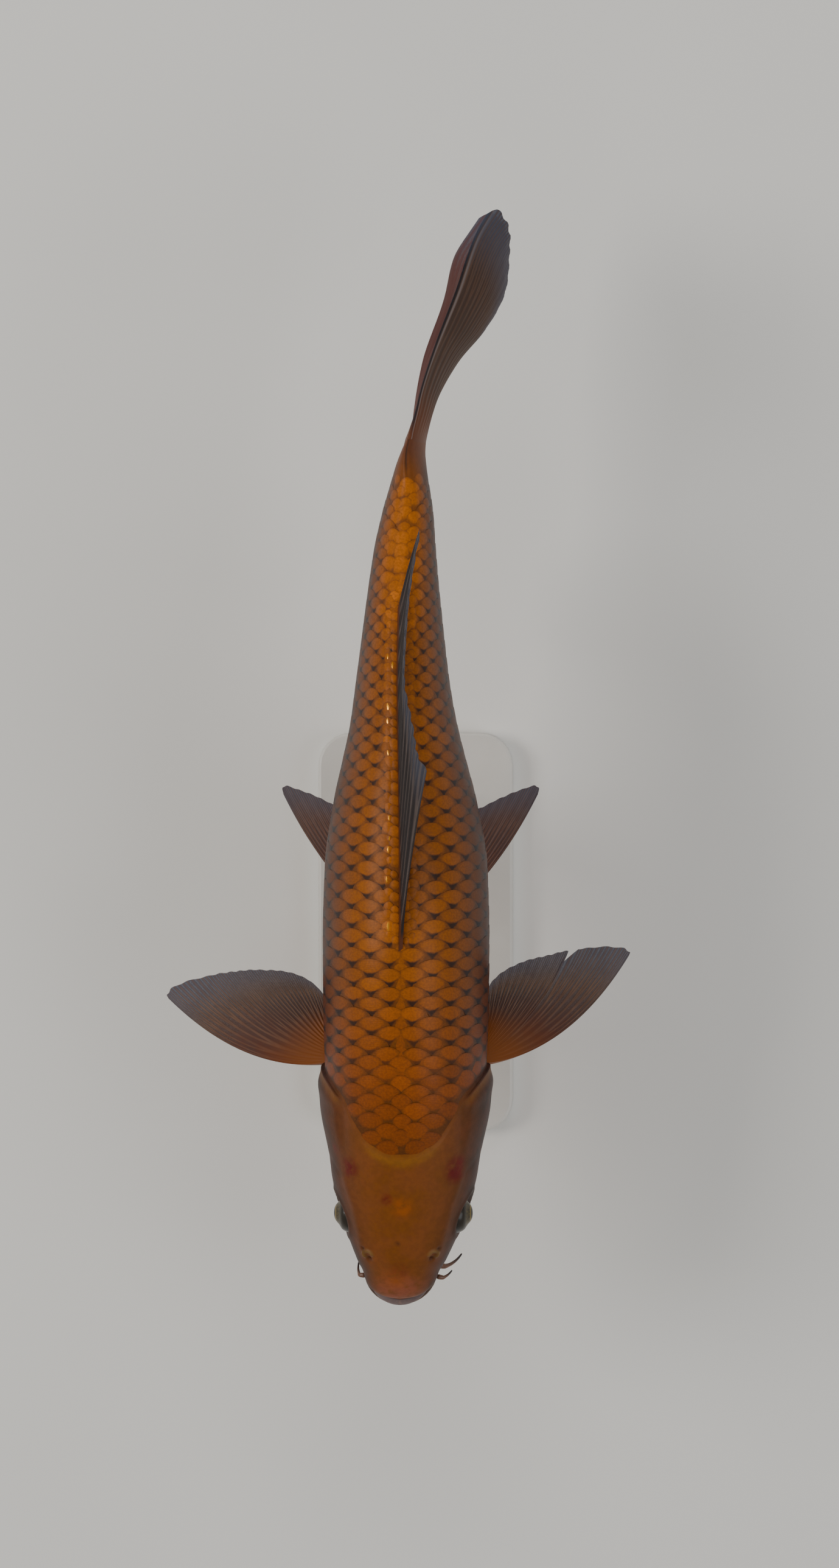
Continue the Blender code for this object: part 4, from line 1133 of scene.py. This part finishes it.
        # darker behind the head and brighter along the back toward the tail; the small scales on
        # the right side are painted paler, as painted light on the side that the key light falls
        # on
        tone = (tone * (1 - 0.3 * near_ridge * np.exp(-np.maximum(behind, 0) / 16.0))
                * np.where(small & (side < 0), 1.22, 1.0)
                * (1 + 0.16 * near_ridge * np.exp(-((along - 145) / 45.0) ** 2))
                * (1 + 0.5 * near_ridge * smooth_step((along - 262) / 40)) * (1 - 0.14 * strip))
        # the scales with painted glints lie mostly on the right side, the side that the key light
        # falls on
        gleaming = chance.uniform(0, 1, count) < (0.13 if side < 0 else 0.02)
        wet = 1.0 * (small & (row < STRIP_ROW) & gleaming)
        return {"mark": mark, "fair": fair, "tone": tone, "plain": strip, "wet": wet}


# ---- eyes and barbels

def eye_material():
    """Glass eye, cast clear over a painted iris: gold ring, black pupil, sharp reflection."""
    material, add, shader = new_material("cast glass eye")
    ring = add("number", "from_axis")
    streaks = add("ramp", mottle(add, 1.1, 4.0), 0.35, 0.65)
    iris = add("mix", streaks, colour("iris_dark"), colour("iris_pale"))
    base = add("mix", add("ramp", ring, 2.75, 2.95), colour("eye_pupil"), iris)
    base = add("mix", add("ramp", ring, 5.5, 6.6), base, colour("eye_rim"))
    band = add("multiply", add("ramp", ring, 2.9, 3.1), add("ramp", ring, 3.3, 3.9, 0.8, 0.0))
    set_node(shader, {
        "Base Color": add("mix", band, base, colour("eye_ring")), "Roughness": 0.3,
        "Specular IOR Level": 0.3, "Coat Weight": 0.15, "Coat Roughness": 0.05,
        "Normal": add("bump", 0.02, 0.0001, streaks)})
    return material


class KOI_OT_eyes(bpy.types.Operator):
    """Set both eyes in their sockets"""
    bl_idname = "koi.eyes"
    bl_label = "Eyes"

    def execute(self, context):
        material = eye_material()
        for word, side in (("left", 1), ("right", -1)):
            low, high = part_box("eye_" + word)
            middle = np.array((low + high) / 2) / MM + (EYE_PROUD * side, 0, 0)
            piece, ball = add_ball("koi_eye_" + word, 56, 40)
            axis = ball[:, 2]
            turned = np.stack([axis * side, ball[:, 0], ball[:, 1]], -1)
            radius = EYE_RADIUS - 0.1
            flatten = 1 - 0.06 * smooth_step((axis - 0.55) / 0.25) * (1 - smooth_step(
                (axis - 0.8) / 0.2))
            move_vertices(piece, middle + turned * (radius * flatten)[:, None])
            off_axis = np.hypot(ball[:, 0], ball[:, 1]) * radius
            off_axis = np.where(axis > 0, off_axis, EYE_RADIUS)
            set_attribute(piece, "from_axis", off_axis)
            face_outward(piece)
            finish_piece(piece, material, ("eye_" + word,))
        return {"FINISHED"}


def barbel_material():
    """Cast barbel skin: soft, brown and darker toward its tip."""
    material, add, shader = new_material("varnished barbel skin")
    speck = add("ramp", mottle(add, 0.8), 0.35, 0.65, 0.0, 0.35)
    base = add("mix", speck, colour("barbel"), colour("barbel_speck"))
    base = add("mix", add("ramp", add("number", "tip"), 0.1, 0.9), base, colour("barbel_tip"))
    set_node(shader, {"Base Color": base, "Roughness": 0.38, "Coat Weight": 0.3,
                      "Normal": add("bump", 0.05, 0.0001, speck)})
    return material


class KOI_OT_barbels(bpy.types.Operator):
    """Grow the four barbels at the corners of the mouth"""
    bl_idname = "koi.barbels"
    bl_label = "Barbels"

    def execute(self, context):
        material = barbel_material()
        for name, (along, degrees, bend, reach, radius) in BARBELS.items():
            angle = np.array(math.radians(degrees))
            place = np.array(float(along))
            normal = body_normal(place, angle)
            root = body_surface(place, angle) + normal * (radius + 0.55)
            turn, tip = root + np.array(bend), root + np.array(reach)
            piece, ball = add_ball("koi_" + name, 16, 40)
            t = np.clip((1 - ball[:, 2]) / 2, 0, 1)
            start = root - normal * (radius + 1.4)
            line = self.barbel_line(t, start, root, turn, tip)
            ahead = unit(self.barbel_line(t + 0.01, start, root, turn, tip)
                         - self.barbel_line(t - 0.01, start, root, turn, tip))
            sideways = unit(np.cross(ahead, (0.0, 0.0, 1.0)))
            rise = np.cross(sideways, ahead)
            ring = np.arctan2(ball[:, 1], ball[:, 0])
            ends = np.sqrt(np.clip(1 - np.maximum(0, (t - 0.94) / 0.06) ** 2, 0, 1))
            ends *= np.sqrt(np.clip(t / 0.02, 0, 1))
            thick = radius * (1.0 - 0.62 * t + 0.45 * bell(t, 0.18)) * ends
            places = line + (sideways * np.cos(ring)[:, None]
                             + rise * np.sin(ring)[:, None]) * thick[:, None]
            move_vertices(piece, places)
            set_attribute(piece, "tip", t)
            face_outward(piece)
            finish_piece(piece, material, (name,))
        return {"FINISHED"}

    @staticmethod
    def barbel_line(t, start, root, turn, tip):
        """A line that leaves the skin at start and bends through turn to its tip."""
        t = np.asarray(t)[:, None]
        bent = (1 - t) ** 2 * root + 2 * t * (1 - t) * turn + t ** 2 * tip
        return bent + (start - root) * np.clip(1 - t / 0.16, 0, 1) ** 2


# ---- fins

def ray_relief(share, length, rays, fork):
    """1 on a ray and 0 on the web; each ray forks twice beyond a share of its length."""
    across = share * rays
    within = across - np.floor(np.minimum(across, rays - 1e-6))
    first = 0.25 * smooth_step((length - fork) / 0.35)
    second = 0.125 * smooth_step((length - fork - 0.32) / 0.3)
    width = 0.19 - 0.12 * smooth_step((length - fork) / 0.45)
    ridge = np.zeros(np.broadcast(share, length).shape)
    for a in (-1, 1):
        for b in (-1, 1):
            centre = 0.5 + a * first + b * second
            ridge = np.maximum(ridge, bell(within - centre, width))
    return ridge


def frayed(share, rays, depth, seed):
    """How far the outer edge reaches: rays stand out, the web between them is nibbled."""
    chance = np.random.default_rng(seed)
    uneven = chance.uniform(-1, 1, rays + 2)
    across = share * rays
    web = 0.5 + 0.5 * np.cos(2 * math.pi * across)
    return 1 - depth * web - 0.5 * depth * np.interp(across, range(rays + 2), uneven)


def bent_line(root, turn, tip, t):
    """Points on a ray that leaves its root toward turn and ends at tip."""
    return root * (1 - t) ** 2 + turn * 2 * t * (1 - t) + tip * t * t


RAY_COLUMNS = 16
# Each kind of fin: steps along a ray, flesh at its root and the share of the ray that it
# reaches, height of the pleats, share sunk into the body, and where the rays fork
FIN_BUILD = {
    "tail": (72, 7.5, 0.46, 0.07, 0.05, 0.2),
    "dorsal": (40, 1.2, 0.35, 0.35, 0.08, 0.6),
    "anal": (40, 1.2, 0.35, 0.06, 0.08, 0.2),
    "pectoral": (50, 2.6, 0.4, 0.05, 0.06, 0.2),
    "pelvic": (44, 1.6, 0.4, 0.05, 0.06, 0.2),
}


def build_fin(name, kind, rays, surface, material, nodes):
    """A fin on a sheet of rays: surface(share, t) gives its points, in millimetres.

    The sheet is pleated over the rays, then given a thickness that is largest at the root,
    less on a ray and least on the web.
    """
    sizes = bpy.context.scene.koi_sizes
    steps, flesh, flesh_end, pleat, inset, fork = FIN_BUILD[kind]
    columns = rays * RAY_COLUMNS
    piece, across, along = add_grid(name, columns, steps)
    share = np.linspace(0, 1, columns + 1)[None, :]
    length = np.linspace(-inset, 1, steps + 1)[:, None]
    sheet = surface(share, length)
    lengthwise = np.gradient(sheet, axis=0)
    crosswise = np.gradient(sheet, axis=1)
    normal = unit(np.cross(crosswise, lengthwise))
    ridge = ray_relief(share, length, rays, fork) * smooth_step(length / 0.14)
    wave = np.cos(2 * math.pi * (share * rays - 0.5))
    sheet = sheet + normal * (pleat * wave * smooth_step(length / 0.25))[..., None]
    web = sizes.web_thickness / MM
    ray = sizes.ray_thickness / MM
    slim = 1 - 0.45 * smooth_step((length - 0.3) / 0.7)
    thick = (web + (ray - web) * ridge) * slim
    if kind == "tail":
        flesh = flesh * np.sqrt(np.clip(1 - (1 - 2 * share) ** 2, 0, 1))
    thick = thick + flesh * np.clip(1 - length / flesh_end, 0, 1) ** 2
    column = np.round(across * columns).astype(int)
    row = np.round(along * steps).astype(int)
    move_vertices(piece, sheet[row, column])
    set_attribute(piece, "ridge", ridge[row, column])
    piece.data.uv_layers[0].name = "OFBake"
    set_uv(piece, "ray_place", np.stack([(share * rays)[0, column], length[row, 0]], -1))
    full = float(thick.max())
    group = piece.vertex_groups.new(name="flesh")
    for index, weight in enumerate(thick[row, column] / full):
        group.add([index], float(weight), "REPLACE")
    solid = piece.modifiers.new("Flesh", "SOLIDIFY")
    solid.thickness = full * MM
    solid.offset = 0.0
    solid.vertex_group = "flesh"
    solid.thickness_vertex_group = 0.0
    bpy.ops.object.modifier_apply(modifier="Flesh")
    face_outward(piece)
    finish_piece(piece, material, nodes)


def tail_surface(share, t):
    """The tail fin from its top edge (share 0) to its bottom edge (share 1)."""
    v = (1 - 2 * share) + 0 * t
    t = t + 0 * v
    upper = v > 0
    lobe, edge_root, edge_tip = (np.where(upper, a, b) for a, b in zip(TAIL_UPPER, TAIL_LOWER))
    full = TAIL_FORK + (lobe - TAIL_FORK) * (1 - (1 - np.abs(v)) ** 1.2)
    full = full * frayed(share, TAIL_RAYS, 0.007, 5) - 0.4
    full = full - 2.4 * np.clip(1 - (1 - np.abs(v)) / 0.035, 0, 1) ** 2
    root = edge_root * v
    tip = np.sign(v) * edge_tip * np.abs(v) ** 1.3
    along = full * t
    bowed = 1.25 * t - 0.25 * t * t
    rise = root + (tip - root) * bowed
    out = along / lobe
    edge = edge_root + (edge_tip - edge_root) * (1.25 * out - 0.25 * out * out)
    y = SNOUT_Y + STALK_END + 0.3 + along
    level = rise / edge
    x = curve(TAIL_TOP_LINE, y) + curve(TAIL_BULGE, y) * (1 - level ** 2)
    x = x - curve(TAIL_LOWER_SET, y) * (1 - level) / 2
    start = (TAIL_TOP_LINE[0][1] + TAIL_BULGE[0][1] * (1 - level ** 2)
             - TAIL_LOWER_SET[0][1] * (1 - level) / 2)
    stalk = curve(SIDEWAYS_BEND, STALK_END + np.minimum(along, 0)) - STALK_CUP * level ** 2
    x = x + (stalk - start) * (1 - smooth_step(along / 14.0))
    return np.stack([x, y, AXIS_HEIGHT + rise], -1)


def ridge_place(y, angle):
    """Points on the ridge or the keel of the body at a world Y."""
    return body_surface(y - SNOUT_Y, np.full(np.shape(y), angle))


def dorsal_surface(share, t):
    """The dorsal fin from its front ray to its last, swept back and leaning left."""
    root_y = DORSAL_FRONT + (DORSAL_REAR - DORSAL_FRONT) * share
    tip_y, height, lean = (curve([(r[0], r[k]) for r in DORSAL_EDGE], share) for k in (1, 2, 3))
    trim = frayed(share, DORSAL_RAYS, 0.012, 9)
    root = ridge_place(root_y, math.pi / 2)
    up = np.stack([lean, 0 * lean, height], -1) * trim[..., None]
    tip = ridge_place(tip_y, math.pi / 2) + up
    turn = root * 0.5 + tip * 0.5 + np.stack([-0.12 * lean, 0 * lean, 0.08 * height], -1)
    return bent_line(root, turn, tip, t[..., None])


def anal_surface(share, t):
    """The anal fin, swept back under the tail stalk."""
    root_y = ANAL_FRONT + (ANAL_REAR - ANAL_FRONT) * share
    tip_y, depth = (curve([(r[0], r[k]) for r in ANAL_EDGE], share) for k in (1, 2))
    depth = depth * frayed(share, ANAL_RAYS, 0.03, 4)
    root = ridge_place(root_y, -math.pi / 2)
    down = np.stack([0 * depth, 0 * depth, -depth], -1)
    tip = ridge_place(tip_y, -math.pi / 2) + down
    turn = root * 0.5 + tip * 0.5 + down * 0.12
    return bent_line(root, turn, tip, t[..., None])


def paired_surface(root_line, edge, sweep, bow_angle, side, rays, seed, split=None):
    """The surface of a fin that spreads from a short root on the fish's side."""
    front, rear = (np.array(end) + (0, 0, AXIS_HEIGHT) for end in root_line)
    fan = (front + rear) / 2

    def surface(share, t):
        root = front + (rear - front) * share[..., None]
        angle, reach = (curve([(r[0], r[k]) for r in edge], share) for k in (1, 2))
        reach = reach * frayed(share, rays, 0.01, seed)
        if split:
            at, wide, deep = split
            reach = reach - deep * np.clip(1 - np.abs(share - at) / wide, 0, 1)
        tip_angle = np.radians(angle + sweep * (1 - 0.45 * share))
        start_angle = tip_angle - math.radians(bow_angle) * (1 - share)
        away = np.stack([np.cos(tip_angle), np.sin(tip_angle), 0 * share - PAIRED_DROOP], -1)
        tip = fan + away * reach[..., None]
        bow = np.stack([np.cos(start_angle), np.sin(start_angle),
                        0 * share - 1.6 * PAIRED_DROOP], -1)
        turn = root + bow * reach[..., None] * 0.5
        points = bent_line(root, turn, tip, t[..., None])
        return points * (side, 1, 1)

    return surface


class KOI_OT_tail_fin(bpy.types.Operator):
    """Build the forked tail fin"""
    bl_idname = "koi.tail_fin"
    bl_label = "Tail fin"

    def execute(self, context):
        material = fin_material("tail fin web", "tail", 0.3, 0.2)
        build_fin("koi_tail_fin", "tail", TAIL_RAYS, tail_surface, material,
                  ("tail_fin_upper", "tail_fin_lower"))
        return {"FINISHED"}


class KOI_OT_middle_fins(bpy.types.Operator):
    """Build the dorsal fin and the anal fin"""
    bl_idname = "koi.middle_fins"
    bl_label = "Dorsal and anal fins"

    def execute(self, context):
        material = fin_material("dorsal fin web", "dorsal", 0.1, 0.1, edge_tint=0.6)
        build_fin("koi_dorsal_fin", "dorsal", DORSAL_RAYS, dorsal_surface, material,
                  ("dorsal_fin",))
        material = fin_material("anal fin web", "fin", 0.5, 0.25)
        build_fin("koi_anal_fin", "anal", ANAL_RAYS, anal_surface, material, ("anal_fin",))
        return {"FINISHED"}


class KOI_OT_paired_fins(bpy.types.Operator):
    """Build the pectoral and pelvic fins"""
    bl_idname = "koi.paired_fins"
    bl_label = "Paired fins"

    def execute(self, context):
        rays = context.scene.koi_sizes.pectoral_rays
        clear = fin_material("paired fin web", "fin", 0.46, 0.3, blush=0.85)
        dusky = fin_material("pelvic fin web", "pelvic", 0.4, 0.2, blush=0.3)
        for word, side in (("left", 1), ("right", -1)):
            name = "pectoral_fin_" + word
            surface = paired_surface(PECTORAL_ROOT, PECTORAL_EDGE, PECTORAL_SWEEP[word], 24.0,
                                     side, rays, 6 + side, PECTORAL_SPLIT[word])
            build_fin("koi_" + name, "pectoral", rays, surface, clear, (name,))
            name = "pelvic_fin_" + word
            surface = paired_surface(PELVIC_ROOT, PELVIC_EDGE, 0.0, 7.0, side, PELVIC_RAYS,
                                     15 + side)
            build_fin("koi_" + name, "pelvic", PELVIC_RAYS, surface, dusky, (name,))
        return {"FINISHED"}


# ---- stand and stage

# Soft lights: place and size in metres, power in watts, tint
LIGHTS = (((-1.5, 0.25, 1.5), 0.9, 18.0, (1.0, 0.97, 0.92)),
          ((1.6, -0.5, 1.8), 1.4, 14.0, (0.95, 0.97, 1.0)),
          ((0.2, 1.9, 1.6), 1.2, 9.0, (1.0, 1.0, 1.0)))
LIGHT_AIM = Vector((0, 0.03, 0.1))
# The camera: the point it looks at, its tilt from straight above in degrees, the height of
# the picture there in metres, and its sensor in millimetres
CAMERA_AIM = Vector((0.00559, 0.06386, 0.120))
CAMERA_TILT = 2.0
FRAME_HEIGHT = 0.640
SENSOR = 36.0


class KOI_OT_stand(bpy.types.Operator):
    """Finish the stand's base and rods"""
    bl_idname = "koi.stand"
    bl_label = "Stand finish"

    def execute(self, context):
        # powder coat: fine orange peel about 0.8 mm across, which gives a satin sheen
        paint, add, shader = new_material("satin powder coat")
        tone = add("ramp", mottle(add, 14.0), 0.3, 0.7, 0.0, 0.12)
        set_node(shader, {
            "Base Color": add("mix", tone, colour("base_paint"), colour("base_speck")),
            "Roughness": 0.42, "Normal": add("bump", 0.12, 0.0001, mottle(add, 0.8, 1.0))})
        # brushed steel rod: fine lines along the rod, drawn about 0.4 mm apart so they show
        steel, add, shader = new_material("brushed steel rod")
        lines = add("noise", add("stretch", add("here"), (1.0, 1.0, 0.03)), 2500.0, 2.0)
        tint = add("mix", add("ramp", lines, 0.3, 0.7), colour("rod"), colour("rod_line"))
        set_node(shader, {"Base Color": tint, "Metallic": 1.0, "Roughness": 0.32,
                          "Normal": add("bump", 0.04, 0.0001, lines)})
        for name, material in (("stand_base", paint), ("stand_rod_front", steel),
                               ("stand_rod_rear", steel)):
            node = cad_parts[name]
            for k in range(len(node.material_slots)):
                node.material_slots[k].material = material
        return {"FINISHED"}


class KOI_OT_stage(bpy.types.Operator):
    """Set the plain floor, the soft lights and the camera"""
    bl_idname = "koi.stage"
    bl_label = "Stage"

    def execute(self, context):
        deselect_all()
        bpy.ops.mesh.primitive_plane_add(size=8.0, location=(0, 0, -0.0003))
        floor = settle(bpy.context.object, "studio_floor")
        matt, add, shader = new_material("matt floor paint")
        tone = add("ramp", mottle(add, 240.0, 2.0), 0.3, 0.7, 0.0, 0.1)
        set_node(shader, {"Base Color": add("mix", tone, colour("floor"), colour("floor_speck")),
                          "Roughness": 0.85, "Normal": add("bump", 0.03, 0.0002, tone)})
        floor.data.materials.append(matt)
        for place, size, power, tint in LIGHTS:
            bpy.ops.object.light_add(type="AREA", location=place)
            light = bpy.context.object
            light.data.size = size
            light.data.energy = power
            light.data.color = tint
            aim = LIGHT_AIM - Vector(place)
            light.rotation_euler = aim.to_track_quat("-Z", "Y").to_euler()
        world = bpy.data.worlds.new("soft studio")
        world.use_nodes = True
        set_node(world.node_tree.nodes["Background"],
                 {"Color": (1.0, 0.98, 0.95, 1), "Strength": 0.35})
        context.scene.world = world
        self.add_camera(context.scene.koi_sizes.camera_distance)
        return {"FINISHED"}

    def add_camera(self, distance):
        """A camera almost straight above the fish, turned so that the head is at the bottom."""
        tilt = math.radians(CAMERA_TILT)
        place = CAMERA_AIM + Vector((math.sin(tilt), 0, math.cos(tilt))) * distance
        bpy.ops.object.camera_add(location=place)
        camera = bpy.context.object
        back = (place - CAMERA_AIM).normalized()
        right = Vector((0, 1, 0)).cross(back).normalized()
        up = back.cross(right)
        camera.rotation_euler = Matrix((right, up, back)).transposed().to_euler()
        camera.data.sensor_fit = "AUTO"
        camera.data.sensor_width = SENSOR
        camera.data.lens = SENSOR * distance / FRAME_HEIGHT
        camera.data.clip_start = 0.05
        camera.data.clip_end = 50.0
        bpy.context.scene.camera = camera


class KOI_PT_panel(bpy.types.Panel):
    """Steps that build the koi carp"""
    bl_label = "Koi carp"
    bl_idname = "KOI_PT_panel"
    bl_space_type = "VIEW_3D"
    bl_region_type = "UI"
    bl_category = "Koi"

    def draw(self, context):
        for step in STEPS:
            self.layout.operator(step.bl_idname)
        for group in (context.scene.koi_sizes, context.scene.koi_colours):
            for key in group.__annotations__:
                self.layout.prop(group, key)


STEPS = (KOI_OT_skin, KOI_OT_scales, KOI_OT_eyes, KOI_OT_barbels, KOI_OT_tail_fin,
         KOI_OT_middle_fins, KOI_OT_paired_fins, KOI_OT_stand, KOI_OT_stage)
CLASSES = (KoiSizes, KoiColours) + STEPS + (KOI_PT_panel,)


def register():
    for item in CLASSES:
        bpy.utils.register_class(item)
    bpy.types.Scene.koi_sizes = PointerProperty(type=KoiSizes)
    bpy.types.Scene.koi_colours = PointerProperty(type=KoiColours)


def unregister():
    del bpy.types.Scene.koi_colours
    del bpy.types.Scene.koi_sizes
    for item in reversed(CLASSES):
        bpy.utils.unregister_class(item)


def main():
    register()
    for run in (bpy.ops.koi.skin, bpy.ops.koi.scales, bpy.ops.koi.eyes, bpy.ops.koi.barbels,
                bpy.ops.koi.tail_fin, bpy.ops.koi.middle_fins, bpy.ops.koi.paired_fins,
                bpy.ops.koi.stand, bpy.ops.koi.stage):
        if run() != {"FINISHED"}:
            raise RuntimeError("a step of the model did not finish")


if __name__ == "__main__":
    main()
